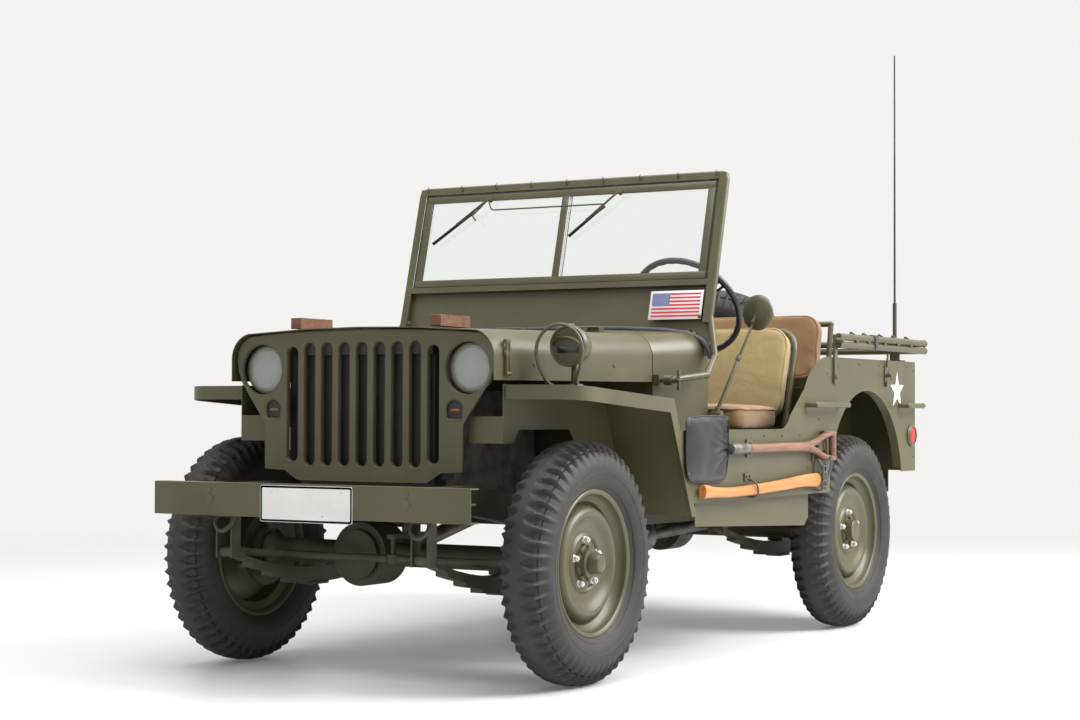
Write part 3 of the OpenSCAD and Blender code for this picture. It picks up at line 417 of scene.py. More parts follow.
for node_name in ("left_rail", "right_rail", "frame_ties", "front_axle", "rear_axle", "leaf_springs",
                  "left_knuckle", "right_knuckle", "tie_rod", "bell_crank", "gearbox", "rear_bumpers",
                  "steering_column"):
    dress(node_name, dark_olive)
for node_name in ("propshafts", "exhaust", "engine_block"):
    dress(node_name, raw_steel)
dress("radiator", black_paint, 0.003)
# Black plates behind the outer grille slots are painted shade: dark sheets that stand in for the shadow seen
# through those slots.
slot_shade_plates = []
for sx in (-1, 1):
    for y0, y1, near, away in ((-1.319, -1.316, 0.248, 0.306), (-1.318, -1.285, 0.248, 0.252)):
        xs = sorted((sx * near, sx * away))
        slot_shade_plates.append(((xs[0], y0, 0.61), (xs[1], y1, 1.03)))
slot_shade_plates = boxes("grille_slot_shade_plates", slot_shade_plates)
finish_piece(slot_shade_plates, "car", "black_metal", black_paint)

# ---------------------------------------------------------------- floor, body panels, fenders and brackets
# Sheet steel tub spot-welded and bolted to the frame, in satin olive that is a little chalky and
# scuffed along its edges. All panel edges are folded or rounded.
for node_name in ("front_floor", "rear_deck", "wheel_boxes", "side_panels", "rear_panel", "fenders",
                  "rear_seat_frame", "rear_back_frame", "side_handles"):
    dress(node_name, olive, 0.0008)

# ---------------------------------------------------------------- tyres
# Black natural-rubber tyres with a two-sided lug tread: each side has its own row of wedge lugs,
# half a pitch apart, that run into a plain centre band. Moulded, with short ribs on the shoulder.
rubber = soft_material("tyre_rubber", (0.017, 0.0155, 0.0145), (0.033, 0.029, 0.026), 0.66, 16.0, 0.3, 0.0,
                       300.0)
LUGS = 54
BEAD_SIDES = 96
profile = [(0.0, 0.3645), (0.012, 0.3642), (0.026, 0.363), (0.04, 0.36), (0.054, 0.3545), (0.0615, 0.3475),
           (0.068, 0.333), (0.075, 0.315), (0.0805, 0.298), (0.0822, 0.284), (0.081, 0.27),
           (0.0765, 0.254), (0.069, 0.238), (0.06, 0.2265), (0.056, 0.22)]


def tyre_mesh():
    """Half-section swept round the axle, cut by grooves on each side."""
    steps = LUGS * 8
    verts = []
    faces = []
    dense = []
    for i in range(len(profile) - 1):
        parts = 2 if i < 7 else 1
        for k in range(parts):
            t = k / parts
            dense.append(tuple(profile[i][j] * (1 - t) + profile[i + 1][j] * t for j in (0, 1)))
    dense.append(profile[-1])
    section = [(-x, r) for x, r in reversed(dense)] + dense[1:]
    count = len(section)
    for s in range(steps):
        turn = 2 * math.pi * s / steps
        for x, r in section:
            side = 0 if x >= 0 else 4
            phase = (s + side) % 8
            away = abs(x)
            depth = 0.0
            if away > 0.012 and r > 0.3:
                reach = min(1.0, (away - 0.012) / 0.03)
                wide = 1.2 + 1.7 * reach
                near = abs(phase - 4)
                cut = 1.0 if near < wide - 0.6 else (0.35 if near < wide + 0.2 else 0.0)
                fade = 1.0 if r > 0.335 else max(0.0, (r - 0.3) / 0.035) * 0.6
                depth = 0.0155 * cut * (0.25 + 0.75 * reach) * fade
            shift = 0.0
            pull = depth
            if r < 0.35:
                pull = depth * 0.45
                shift = depth * 0.95
            xx = x - math.copysign(shift, x)
            rr = r - pull
            verts.append((xx, rr * math.cos(turn), rr * math.sin(turn)))
    for s in range(steps):
        n = (s + 1) % steps
        for i in range(count - 1):
            faces.append((s * count + i, s * count + i + 1, n * count + i + 1, n * count + i))
    mesh = bpy.data.meshes.new("tyre")
    mesh.from_pydata(verts, [], faces)
    bm = bmesh.new()
    bm.from_mesh(mesh)
    turned(bm, [(-0.056, 0.22), (-0.05, 0.226), (0.0, 0.235), (0.05, 0.226), (0.056, 0.22)], BEAD_SIDES)
    for radius, place, lift in ((0.27, 0.0812, 0.0007), (0.236, 0.0682, 0.0006)):
        rib = [(place - 0.0006, radius - 0.0016), (place + lift, radius), (place - 0.0006, radius + 0.0016)]
        for sign in (-1, 1):
            turned(bm, rib, BEAD_SIDES, sign)
    bmesh.ops.recalc_face_normals(bm, faces=bm.faces)
    bm.to_mesh(mesh)
    bm.free()
    mesh.shade_smooth()
    mesh.materials.append(rubber)
    return mesh


tyre_shape = tyre_mesh()
CORNERS = {"front_left": (0.6225, FA, 1, 1), "front_right": (-0.6225, FA, -1, 1),
           "rear_left": (0.6225, RA, 1, 0), "rear_right": (-0.6225, RA, -1, 0)}
for corner, (wx, wy, side, front) in CORNERS.items():
    tyre = link(bpy.data.objects.new(corner + "_lug_tyre", tyre_shape))
    tyre.location = (wx, wy, AXLE_Z)
    soften(tyre, 0, 0, 28)
    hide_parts(corner + "_tyre")
    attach(tyre, corner + "_wheel")
spare_at = Vector((-0.225, 1.5615, 0.975))
spare = link(bpy.data.objects.new("spare_lug_tyre", tyre_shape))
spare.location = spare_at
spare.rotation_euler = (0, 0, math.radians(90))
soften(spare, 0, 0, 28)
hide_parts("spare_tyre")
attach(spare, "car")

# ---------------------------------------------------------------- rims and hubs
# Two-piece pressed steel wheels: rolled flange, drop well and a dished centre with five studs and
# cone nuts. The front hub carries a driving flange with small bolts and a thin nose.
STUD_R = 0.07
RIM = [(0.057, 0.22), (0.059, 0.217), (0.058, 0.212), (0.053, 0.206), (0.04, 0.204), (0.03, 0.1985),
       (0.024, 0.186), (0.02, 0.182), (0.012, 0.181), (0.01, 0.18), (0.0085, 0.178), (0.012, 0.174),
       (0.024, 0.17), (0.036, 0.164), (0.043, 0.155), (0.044, 0.148), (0.04, 0.14), (0.033, 0.13),
       (0.0265, 0.118), (0.0235, 0.105), (0.023, 0.092), (0.027, 0.088), (0.03, 0.083), (0.0275, 0.078),
       (0.0235, 0.075), (0.023, 0.06), (0.023, 0.03)]
BACK = [(0.023, 0.03), (0.019, 0.03), (0.019, 0.104), (0.03, 0.13), (0.02, 0.17), (0.005, 0.175),
        (-0.03, 0.177), (-0.04, 0.201), (-0.053, 0.205), (-0.058, 0.212), (-0.059, 0.217), (-0.057, 0.22),
        (-0.05, 0.223), (-0.04, 0.209), (0.04, 0.209), (0.05, 0.223), (0.057, 0.22)]


def rim_piece(name, side, front):
    """Rim, hub and hub bolts as one mesh, outer face towards side."""
    bm = bmesh.new()
    turned(bm, RIM + BACK[1:], 72, side)
    hub = [(0.0235, 0.056), (0.03, 0.054), (0.032, 0.043), (0.056, 0.041), (0.0585, 0.0385)]
    if front:
        hub = [(0.0235, 0.056), (0.032, 0.0545), (0.034, 0.047), (0.048, 0.0455), (0.05, 0.033),
               (0.076, 0.03), (0.082, 0.025), (0.0835, 0.018)]
    turned(bm, hub + [(hub[-1][0] + 0.0002, 0.001)], 40, side)
    for k in range(8):
        add_bolt(bm, (side * 0.033, *spread(0.0485, 8, k)), (side, 0, 0), 0.009, 0.006)
    bmesh.ops.recalc_face_normals(bm, faces=bm.faces)
    return from_bmesh(name, bm, 0.0, 38)


def nut_ring(name, side):
    """Five cone nuts with bright stud ends."""
    bm = bmesh.new()
    for k in range(5):
        y, z = spread(STUD_R, 5, k + 0.3)
        for x0, x1, r0, r1, sides in ((0.0235, 0.029, 0.0125, 0.0105, 24), (0.0285, 0.04, 0.01, 0.0092, 6),
                                      (0.0395, 0.0435, 0.0058, 0.005, 16)):
            add_rod(bm, (side * x0, y, z), (side * x1, y, z), r0, r1, sides)
    return from_bmesh(name, bm, 0.0006)


for corner, (wx, wy, side, front) in CORNERS.items():
    rim = rim_piece(corner + "_pressed_rim", side, front)
    rim.location = (wx, wy, AXLE_Z)
    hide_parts(corner + "_rim")
    finish_piece(rim, corner + "_wheel", "olive_paint", olive)
    nuts = nut_ring(corner + "_wheel_nuts", side)
    nuts.location = (wx, wy, AXLE_Z)
    finish_piece(nuts, corner + "_wheel", "bare_steel", bright_zinc)
spare_rim = rim_piece("spare_pressed_rim", 1, 0)
spare_rim.location = spare_at
spare_rim.rotation_euler = (0, 0, math.radians(90))
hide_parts("spare_rim")
finish_piece(spare_rim, "car", "olive_paint", olive)

# ---------------------------------------------------------------- bumper, plate and shackles
# Rolled channel bumper bolted to the rail ends, a blank painted number plate with a dark red border,
# and two forged shackles hung below the channel.
plate_white = soft_material("plate_white", (0.74, 0.73, 0.7), (0.8, 0.79, 0.76), 0.3, 9.0, 0.03)
plate_red = soft_material("plate_border", (0.3, 0.015, 0.02), (0.36, 0.022, 0.026), 0.35, 9.0, 0.03)
PLATE_X = 0.004
PLATE_Z = 0.541
PLATE_FACE = -1.6444
BUMPER_FACE = -1.6425
RAIL_X = 0.358


def rounded(w, h, r, steps=6):
    """Corner points of a rounded rectangle about the origin."""
    pts = []
    for cx, cy, start in ((w / 2 - r, h / 2 - r, 0), (r - w / 2, h / 2 - r, 90), (r - w / 2, r - h / 2, 180),
                          (w / 2 - r, r - h / 2, 270)):
        for k in range(steps + 1):
            a = math.radians(start + 90 * k / steps)
            pts.append((cx + r * math.cos(a), cy + r * math.sin(a)))
    return pts


def slab(name, outline, y0, y1, place=(0, 0, 0), bevel=0.0006):
    """A flat plate in the XZ plane with the given outline, between y0 (front) and y1."""
    bm = bmesh.new()
    front = [bm.verts.new((x + place[0], y0, z + place[2])) for x, z in outline]
    back = [bm.verts.new((x + place[0], y1, z + place[2])) for x, z in outline]
    return loft(name, bm, [front, back], bevel)


channel = [(-1.5975, 0.499), (-1.6425, 0.499), (-1.6425, 0.599), (-1.5975, 0.599), (-1.5975, 0.5945),
           (-1.638, 0.5945), (-1.638, 0.5035), (-1.5975, 0.5035)]
bm = bmesh.new()
ends = [[bm.verts.new((x, y, z)) for y, z in channel] for x in (-0.575, 0.575)]
bumper = loft("rolled_bumper", bm, ends, 0.0022)
even_faces(bumper)
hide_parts("front_bumper")
finish_piece(bumper, "car", "olive_paint", olive)
blank = slab("plate_blank", rounded(0.336, 0.108, 0.008), PLATE_FACE, BUMPER_FACE, (PLATE_X, 0, PLATE_Z))
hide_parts("number_plate")
finish_piece(blank, "car", "white_plate", plate_white)
bm = bmesh.new()
rings = [[bm.verts.new((x + PLATE_X, PLATE_FACE - 0.00008, z + PLATE_Z)) for x, z in loop]
         for loop in (rounded(0.333, 0.105, 0.007), rounded(0.321, 0.093, 0.004))]
skin(bm, rings)
bmesh.ops.solidify(bm, geom=bm.faces[:], thickness=0.0001)
border = from_bmesh("plate_border", bm)
finish_piece(border, "car", "white_plate", plate_red)
bm = bmesh.new()
for dx, dz, r0, r1, sides in ((-0.128, 0.036, 0.0075, 0.0065, 20), (0.128, 0.036, 0.0075, 0.0065, 20),
                              (-0.06, -0.034, 0.0045, 0.004, 16), (0.06, -0.034, 0.0045, 0.004, 16)):
    x = PLATE_X + dx
    z = PLATE_Z + dz
    add_rod(bm, (x, PLATE_FACE + 0.0004, z), (x, PLATE_FACE - 0.00009, z), r0, r1, sides)
screws = from_bmesh("plate_screws", bm)
finish_piece(screws, "car", "bare_steel", bright_zinc)
bm = bmesh.new()
for x in (-RAIL_X, RAIL_X):
    for z, width, height in ((0.549, 0.022, 0.0019), (0.576, 0.013, 0.0018)):
        add_bolt(bm, (x, BUMPER_FACE, z), (0, -1, 0), width, height)
olive_piece("bumper_bolts", bm, "car", 0.0004)
for tag, sx in SIDES:
    bow = [(sx * (RAIL_X + dx), y, z) for dx, y, z in
           ((0.03, -1.56, 0.505), (0.034, -1.575, 0.47), (0, -1.585, 0.445), (-0.034, -1.575, 0.47),
            (-0.03, -1.56, 0.505))]
    shackle = tube("shackle_" + tag, bow, 0.008, 0.028)
    finish_piece(shackle, "car", "chassis_paint", dark_olive)

# ---------------------------------------------------------------- slotted front panel
# One pressed steel panel with nine upright slots, two round lamp openings and two small flat-sided
# marker openings. Every opening has a rolled inner edge.
GY0 = -1.3655
GY1 = -1.3625
LAMP_X = 0.382
LAMP_Z = 0.943
MARKER_X = 0.337
MARKER_Z = 0.818


def at_angle(center, radius, degrees):
    """A point on a circle in a plane."""
    a = math.radians(degrees)
    return center[0] + radius * math.cos(a), center[1] + radius * math.sin(a)


def front_outline():
    """Right half then left half of the panel's edge."""
    half = [(0.24, 0.604), (0.29, 0.634), (0.365, 0.636), (0.366, 0.775), (0.386, 0.806), (0.42, 0.852),
            (0.458, 0.905), (0.472, 0.938), (0.477, 0.976)]
    half += [at_angle((0.408, 0.976), 0.069, a) for a in (20, 40, 60, 75)]
    half += [(0.36, 1.048), (0.28, 1.053), (0.195, 1.056), (0.1, 1.058)]
    return [(0.0, 0.604)] + half + [(0.0, 1.059)] + [(-x, z) for x, z in reversed(half)]


def marker_hole(cx, cz):
    """Round top with flat sides and foot."""
    pts = [at_angle((cx, cz), 0.034, a) for a in range(10, 171, 16)]
    return pts + [(cx - 0.03, cz - 0.024), (cx - 0.024, cz - 0.03), (cx + 0.024, cz - 0.03),
                  (cx + 0.03, cz - 0.024)]


openings = []
for k in range(-4, 5):
    tall = 0.362 if abs(k) == 4 else 0.386
    openings.append([(x + 0.0655 * k, z + 0.835) for x, z in rounded(0.044, tall - 0.006, 0.0215, 8)])
for sx in (-1, 1):
    openings.append([at_angle((sx * LAMP_X, LAMP_Z), 0.079, a) for a in range(0, 360, 8)])
    openings.append(marker_hole(sx * MARKER_X, MARKER_Z))
curve = bpy.data.curves.new("front_panel", "CURVE")
curve.dimensions = "2D"
curve.fill_mode = "BOTH"
curve.extrude = 0.0008
for loop in [front_outline()] + openings:
    spline = curve.splines.new("POLY")
    spline.points.add(len(loop) - 1)
    for point, (x, z) in zip(spline.points, loop):
        point.co = (x, z, 0, 1)
    spline.use_cyclic_u = True
panel = link(bpy.data.objects.new("front_panel_sheet", curve))
panel.rotation_euler = (math.radians(90), 0, 0)
panel.location = (0, (GY0 + GY1) / 2, 0)
bpy.context.view_layer.update()
sheet_panel = to_mesh(panel)
sheet_panel.data.transform(Matrix.Translation((0, (GY0 + GY1) / 2, 0)) @ Matrix.Rotation(math.radians(90), 4,
                                                                                         "X"))


def rolled_edge(name, loop, deep):
    """A turned-in flange round an opening: rounded lip, then a wall going back."""
    n = len(loop)
    cx = sum(p[0] for p in loop) / n
    cz = sum(p[1] for p in loop) / n
    bm = bmesh.new()
    rows = []
    for grow, y in ((0.004, GY0 + 0.0006), (0.002, GY0 - 0.0002), (0.0, GY0 + 0.0012),
                    (-0.0014, GY0 + 0.004), (-0.0016, GY0 + deep), (0.0002, GY0 + deep)):
        row = []
        for i, (x, z) in enumerate(loop):
            px, pz = loop[i - 1]
            nx, nz = loop[(i + 1) % n]
            t = Vector((nx - px, nz - pz))
            out = Vector((t.y, -t.x)).normalized()
            if out.dot(Vector((x - cx, z - cz))) < 0:
                out = -out
            row.append(bm.verts.new((x + out.x * grow, y, z + out.y * grow)))
        rows.append(row)
    return loft(name, bm, rows, 0.0, 50, False)


edges = [rolled_edge("edge_%d" % i, loop, 0.016 if i < 9 else 0.012) for i, loop in enumerate(openings)]
flange = rolled_edge("edge_out", [(x * 0.9985, z) for x, z in front_outline()], 0.014)
front_sheet = joined("front_panel", [sheet_panel, flange] + edges)
shade(front_sheet, 40)
front_sheet.data.materials.clear()
for poly in front_sheet.data.polygons:
    poly.material_index = 0
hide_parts("grille")
finish_piece(front_sheet, "car", "olive_paint", olive)

# ---------------------------------------------------------------- head lamps and markers
# Sealed lamps in round steel bowls behind the front panel: clear fluted glass over a reflector whose
# near-white, mostly diffuse colour is a painted reflection. Below each one a small marker lamp has a dark
# face with an amber slit.
clear_glass = bpy.data.materials.new("clear_glass")
clear_glass.use_nodes = True
glass_bsdf = clear_glass.node_tree.nodes["Principled BSDF"]
glass_bsdf.inputs["Base Color"].default_value = (0.93, 0.96, 0.95, 1)
glass_bsdf.inputs["Roughness"].default_value = 0.02
glass_bsdf.inputs["IOR"].default_value = 1.45
glass_bsdf.inputs["Transmission Weight"].default_value = 1.0
dust = new_node(clear_glass.node_tree, "TexNoise", {"Scale": 14.0})
dust_lift = new_node(clear_glass.node_tree, "Bump", {"Strength": 0.01})
clear_glass.node_tree.links.new(dust.outputs["Fac"], dust_lift.inputs["Height"])
clear_glass.node_tree.links.new(dust_lift.outputs["Normal"], glass_bsdf.inputs["Normal"])
lamp_glass = soft_material("lamp_glass", (0.8, 0.86, 0.86), (0.92, 0.95, 0.95), 0.09, 30.0, 0.02)
lamp_glass.node_tree.nodes["Principled BSDF"].inputs["Alpha"].default_value = 0.22
# Reflectors, bulbs and the mirror face: near-white and only slightly metallic, a painted reflection of the
# bright studio in place of a mirror finish.
painted_reflection_white = soft_material("painted_reflection_white", (0.8, 0.8, 0.78), (0.92, 0.92, 0.9), 0.26, 20.0, 0.02, 0.15)
amber = soft_material("amber_glass", (0.2, 0.06, 0.008), (0.3, 0.1, 0.012), 0.18, 40.0, 0.1)


POINT_R = 0.0005


def turned_y(name, section, center, sides=56, bevel=0.0, angle=35):
    """A section of (back, radius) points turned about a line that runs along Y."""
    bm = bmesh.new()
    rings = []
    for y, r in section:
        ring = [spread(r, sides, s) for s in range(sides)]
        rings.append([bm.verts.new((center[0] + c, center[1] + y, center[2] + s)) for c, s in ring])
    skin(bm, rings)
    for end, ring in ((section[0], rings[0]), (section[-1], rings[-1])):
        if end[1] > POINT_R:
            bm.faces.new(ring)
    bmesh.ops.remove_doubles(bm, verts=bm.verts, dist=0.00001)
    bmesh.ops.recalc_face_normals(bm, faces=bm.faces)
    return from_bmesh(name, bm, bevel, angle)


lamp_bodies = []
for tag, sx in SIDES:
    at = (sx * LAMP_X, -1.3385, LAMP_Z)
    bowl = [(-0.001, 0.07), (-0.004, 0.0715), (-0.004, 0.0745), (0.0, 0.076), (0.006, 0.075),
            (0.008, 0.0725), (0.035, 0.064), (0.06, 0.048), (0.069, 0.03), (0.07, 0.0005)]
    lamp_bodies.append(turned_y("lamp_bowl_" + tag, bowl, at))
    lens = [(-0.0085, 0.0005), (-0.0083, 0.015), (-0.0076, 0.03), (-0.0064, 0.045), (-0.0046, 0.058),
            (-0.002, 0.0695), (0.0008, 0.07), (-0.0016, 0.057), (-0.0034, 0.044), (-0.0046, 0.029),
            (-0.0053, 0.015), (-0.0055, 0.0005)]
    lens_piece = turned_y("lamp_lens_" + tag, lens, at)
    for v in lens_piece.data.vertices:
        if v.co.y < at[1] - 0.0002:
            v.co.y += 0.0004 * math.sin(v.co.x * 900)
    finish_piece(lens_piece, "car", "lamp_metal", lamp_glass)
    mirror_bowl = [(0.0012, 0.0698), (0.01, 0.064), (0.02, 0.054), (0.028, 0.04), (0.033, 0.024),
                   (0.0345, 0.012), (0.0345, 0.0005)]
    finish_piece(turned_y("lamp_mirror_" + tag, mirror_bowl, at), "car", "lamp_metal", painted_reflection_white)
    bulb = [(0.002, 0.0005), (0.003, 0.008), (0.006, 0.012), (0.008, 0.013), (0.01, 0.009), (0.033, 0.006)]
    finish_piece(turned_y("lamp_bulb_" + tag, bulb, at, 24), "car", "lamp_metal", painted_reflection_white)
    place = (sx * MARKER_X, 0, MARKER_Z)
    shape = marker_hole(0, 0)
    face = slab("marker_body_" + tag, [(x * 0.94, z * 0.94) for x, z in shape], -1.3592, -1.33, place, 0.002)
    finish_piece(face, "car", "black_metal", black_paint)
    ring = rolled_edge("marker_ring_" + tag, [(x * 0.9 + place[0], z * 0.9 + place[2]) for x, z in shape],
                       0.006)
    finish_piece(ring, "car", "olive_paint", olive)
    slit = slab("marker_slit_" + tag, [(-0.017, -0.004), (0.017, -0.004), (0.014, 0.003), (-0.014, 0.003)],
                -1.3602, -1.359, (place[0], 0, place[2] + 0.001), 0.0005)
    finish_piece(slit, "car", "red_lens", amber)
lamp_cans = joined("head_lamp_bowls", lamp_bodies)
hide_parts("front_lamps")
finish_piece(lamp_cans, "car", "olive_paint", olive)

# ---------------------------------------------------------------- hood, latches and blocks
# One large sheet steel hood hinged at the cowl, with a thick rolled front lip, side spring
# catches and two oiled wooden blocks on which the windshield rests when it is folded.
dress("hood", olive, 0.0012)
wood_dark = soft_material("oiled_wood", (0.115, 0.045, 0.018), (0.205, 0.088, 0.036), 0.45, 6.0, 0.2, 0.0,
                          90.0)


def stretch_grain(mat, scale):
    """Draws a wood's noise out along its grain."""
    tree = mat.node_tree
    mapping = new_node(tree, "Mapping", {"Scale": scale})
    for old in list(tree.links):
        if old.from_socket.name == "Object":
            target = old.to_socket
            tree.links.new(old.from_socket, mapping.inputs["Vector"])
            tree.links.new(mapping.outputs["Vector"], target)


stretch_grain(wood_dark, (2.0, 14.0, 14.0))
dress("hood_blocks", wood_dark, 0.002)
bm = bmesh.new()
for x in (-0.26, 0.26):
    for y in (-1.325, -1.213):
        add_rod(bm, (x, y, 1.1025), (x, y, 1.1045), 0.008, 0.007, 20)
steel_piece("block_screws", bm, "hood", 0.0004)
for tag, sx in SIDES:
    bm = bmesh.new()
    for x0, y0, z0, x1, y1, z1, r, sides in ((0.493, -1.33, 0.985, 0.502, -1.33, 0.985, 0.01, 16),
                                             (0.498, -1.33, 1.022, 0.5, -1.33, 0.925, 0.0045, 12),
                                             (0.498, -1.316, 1.022, 0.5, -1.316, 0.925, 0.0045, 12),
                                             (0.498, -1.334, 1.022, 0.498, -1.312, 1.022, 0.005, 12),
                                             (0.5, -1.336, 0.925, 0.5, -1.31, 0.925, 0.0065, 12),
                                             (0.485, -1.323, 1.022, 0.503, -1.323, 1.022, 0.0075, 12)):
        add_rod(bm, (sx * x0, y0, z0), (sx * x1, y1, z1), r, None, sides)
    olive_piece("hood_catch_" + tag, bm, "hood", 0.0008)
    for i, (y, z) in enumerate(((-1.18, 0.955), (-0.74, 0.96))):
        bm = bmesh.new()
        side_x = 0.488 + (0.55 - 0.488) * (y + 1.3835) / 0.87
        add_rod(bm, (sx * (side_x - 0.001), y, z), (sx * (side_x + 0.003), y, z), 0.007, 0.005, 16)
        olive_piece("hood_rivet_%s_%d" % (tag, i), bm, "hood", 0.0005)

# ---------------------------------------------------------------- cowl and windshield seal
# The cowl is one curved pressing between the hood and the dash. A thick grey-black rubber strip
# lies along its rear edge, where the foot of the windshield comes down on it.
dress("cowl", olive, 0.001)
seal_rubber = soft_material("seal_rubber", (0.045, 0.045, 0.055), (0.075, 0.075, 0.09), 0.55, 20.0, 0.2)
seal_half = [(0.3, -0.256, 1.099), (0.47, -0.257, 1.089), (0.56, -0.258, 1.076), (0.612, -0.26, 1.052),
             (0.634, -0.262, 1.02), (0.64, -0.262, 0.995)]
seal_line = [(-x, y, z) for x, y, z in reversed(seal_half)] + [(0.0, -0.256, 1.103)] + seal_half
seal = tube("windshield_seal", seal_line, 0.0105, 0.02, 12)
finish_piece(seal, "car", "tyre_rubber", seal_rubber)

# ---------------------------------------------------------------- windshield
# Outer tube frame with a steel lower panel, an inner frame with two panes set on black rubber,
# hand wipers on a link rod, cover hooks along the top, and pivot arms with wing clamps.
GLASS_LEAN = math.radians(14.7)
FOOT = Vector((0, -0.2415, 1.113))
UP = Vector((0, math.sin(GLASS_LEAN), math.cos(GLASS_LEAN)))
OUT = Vector((0, -math.cos(GLASS_LEAN), math.sin(GLASS_LEAN)))


def pane_point(x, s, out=0.0):
    """A point on the windshield: x across, s up the glass, out towards the front."""
    return FOOT + Vector((x, 0, 0)) + UP * s + OUT * out


dress("windshield_frame", olive, 0.0015)
dress("windshield_glass", clear_glass, 0)


def pane_boxes(name, table, bevel=0.001):
    """Bars in the plane of the glass: low x, low s, low out, high x, high s, high out."""
    bm = bmesh.new()
    turn = Matrix(((1, 0, 0), (0, UP.y, OUT.y), (0, UP.z, OUT.z))).to_4x4()
    for x0, s0, o0, x1, s1, o1 in table:
        mid = pane_point((x0 + x1) / 2, (s0 + s1) / 2, (o0 + o1) / 2)
        m = Matrix.Translation(mid) @ turn @ Matrix.Diagonal((x1 - x0, s1 - s0, o1 - o0, 1))
        bmesh.ops.create_cube(bm, size=1, matrix=m)
    bmesh.ops.recalc_face_normals(bm, faces=bm.faces)
    return from_bmesh(name, bm, bevel)


inner_frame = pane_boxes("inner_glass_frame", [
    (x0, s0, 0.004, x1, s1, 0.0108) for x0, s0, x1, s1 in
    ((-0.592, 0.156, 0.592, 0.182), (-0.592, 0.48, 0.592, 0.506), (-0.592, 0.18, -0.564, 0.482),
     (0.564, 0.18, 0.592, 0.482))] + [(-0.0135, 0.18, 0.0038, 0.0135, 0.482, 0.011)], 0.0018)
finish_piece(inner_frame, "windshield", "olive_paint", olive)
rubber_strips = pane_boxes("glass_rubber", [
    (x0, s0, 0.0035, x1, s1, 0.008) for x0, s0, x1, s1 in
    ((-0.6, 0.1545, 0.6, 0.156), (-0.6, 0.506, 0.6, 0.512), (-0.6, 0.155, -0.592, 0.51),
     (0.592, 0.155, 0.6, 0.51))], 0.0004)
finish_piece(rubber_strips, "windshield", "tyre_rubber", black_paint)
outer_line = [pane_point(x, s) for x, s in ((-0.623, 0.006), (-0.623, 0.5325), (0.623, 0.5325),
                                            (0.623, 0.006))]
outer_tube = tube("outer_glass_tube", outer_line, 0.0122, 0.022, 16)
finish_piece(outer_tube, "windshield", "olive_paint", olive)
bm = bmesh.new()
for k in range(9):
    x = -0.592 + 0.148 * k
    a = pane_point(x, 0.524, 0.012)
    b = pane_point(x, 0.534, 0.0215)
    c = pane_point(x, 0.543, 0.0175)
    add_rod(bm, a, b, 0.0028, None, 10)
    add_rod(bm, b, c, 0.0026, 0.002, 10)
for x, s in ((-0.56, 0.494), (0.0, 0.494), (0.56, 0.494), (-0.578, 0.3), (0.578, 0.3), (-0.578, 0.4),
             (0.578, 0.4)):
    add_rod(bm, pane_point(x, s, 0.01), pane_point(x, s, 0.0119), 0.005, 0.0038, 14)
olive_piece("cover_hooks_and_screws", bm, "windshield")
wiper_parts = []
for tag, pivot, tip in (("left", (0.225, 0.48), (0.042, 0.325)), ("right", (-0.312, 0.48), (-0.532, 0.318))):
    p = Vector(pivot)
    q = Vector(tip)
    d = (q - p).normalized()
    side = Vector((-d.y, d.x))
    bm = bmesh.new()
    add_rod(bm, pane_point(p.x, p.y, 0.012), pane_point(p.x, p.y, 0.034), 0.0085, 0.007, 20)
    mid = p + d * 0.155
    add_rod(bm, pane_point(p.x, p.y, 0.031), pane_point(mid.x, mid.y, 0.028), 0.0042, 0.0034, 12)
    arm_b = p + d * 0.07 + side * 0.006
    add_rod(bm, pane_point(arm_b.x, arm_b.y, 0.026), pane_point(mid.x, mid.y, 0.026), 0.006, 0.006, 4)
    wiper_parts.append(from_bmesh("wiper_arm_" + tag, bm, 0.0006))
    a = p + d * 0.075
    bm = bmesh.new()
    for half in (-0.003, 0.003):
        add_rod(bm, pane_point(a.x, a.y, 0.0215 + half), pane_point(q.x, q.y, 0.0215 + half), 0.0042, None,
                8)
    blade = from_bmesh("wiper_blade_" + tag, bm, 0.0005)
    finish_piece(blade, "windshield", "tyre_rubber", black_paint)
for name, radius, points in (
        ("wiper_link", 0.0028, ((0.178, 0.437, 0.028), (-0.294, 0.437, 0.028), (-0.312, 0.474, 0.03))),
        ("wiper_handle", 0.0032, ((-0.312, 0.48, 0.03), (-0.345, 0.446, 0.03), (-0.372, 0.418, 0.033),
                                  (-0.352, 0.398, 0.034)))):
    wiper_parts.append(tube(name, [pane_point(*p) for p in points], radius, 0.012, 8))
wipers = joined("wiper_arms", wiper_parts)
finish_piece(wipers, "windshield", "olive_paint", olive)

# The flag panel is a painted rectangle on the lower windshield panel: white edge, stripes, blue corner.
flag_white = soft_material("flag_white", (0.74, 0.74, 0.74), (0.8, 0.8, 0.8), 0.32, 12.0, 0.03)
flag_red = soft_material("flag_red", (0.58, 0.03, 0.045), (0.68, 0.045, 0.06), 0.32, 12.0, 0.03)
flag_blue = soft_material("flag_blue", (0.085, 0.12, 0.33), (0.11, 0.15, 0.4), 0.32, 12.0, 0.03)
FX0 = 0.395
FX1 = 0.595
FS0 = 0.012
FS1 = 0.114
CORNER_W = 0.066
flag = pane_boxes("flag_field", [(FX0, FS0, 0.0118, FX1, FS1, 0.0126)], 0.0002)
finish_piece(flag, "windshield", "white_plate", flag_white)
pad = 0.009
stripe = (FS1 - FS0 - 2 * pad) / 13
red_bars = []
for k in range(0, 13, 2):
    low = FS0 + pad + stripe * k
    start = FX0 + pad + (CORNER_W if k >= 6 else 0)
    red_bars.append((start, low, 0.012, FX1 - pad, low + stripe, 0.013))
finish_piece(pane_boxes("flag_stripes", red_bars, 0), "windshield", "white_plate", flag_red)
corner_low = FS0 + pad + stripe * 6
canton = (FX0 + pad, corner_low, 0.012, FX0 + pad + CORNER_W, FS1 - pad, 0.013)
finish_piece(pane_boxes("flag_corner", [canton], 0), "windshield", "white_plate", flag_blue)
dots = []
DOT = 0.0014
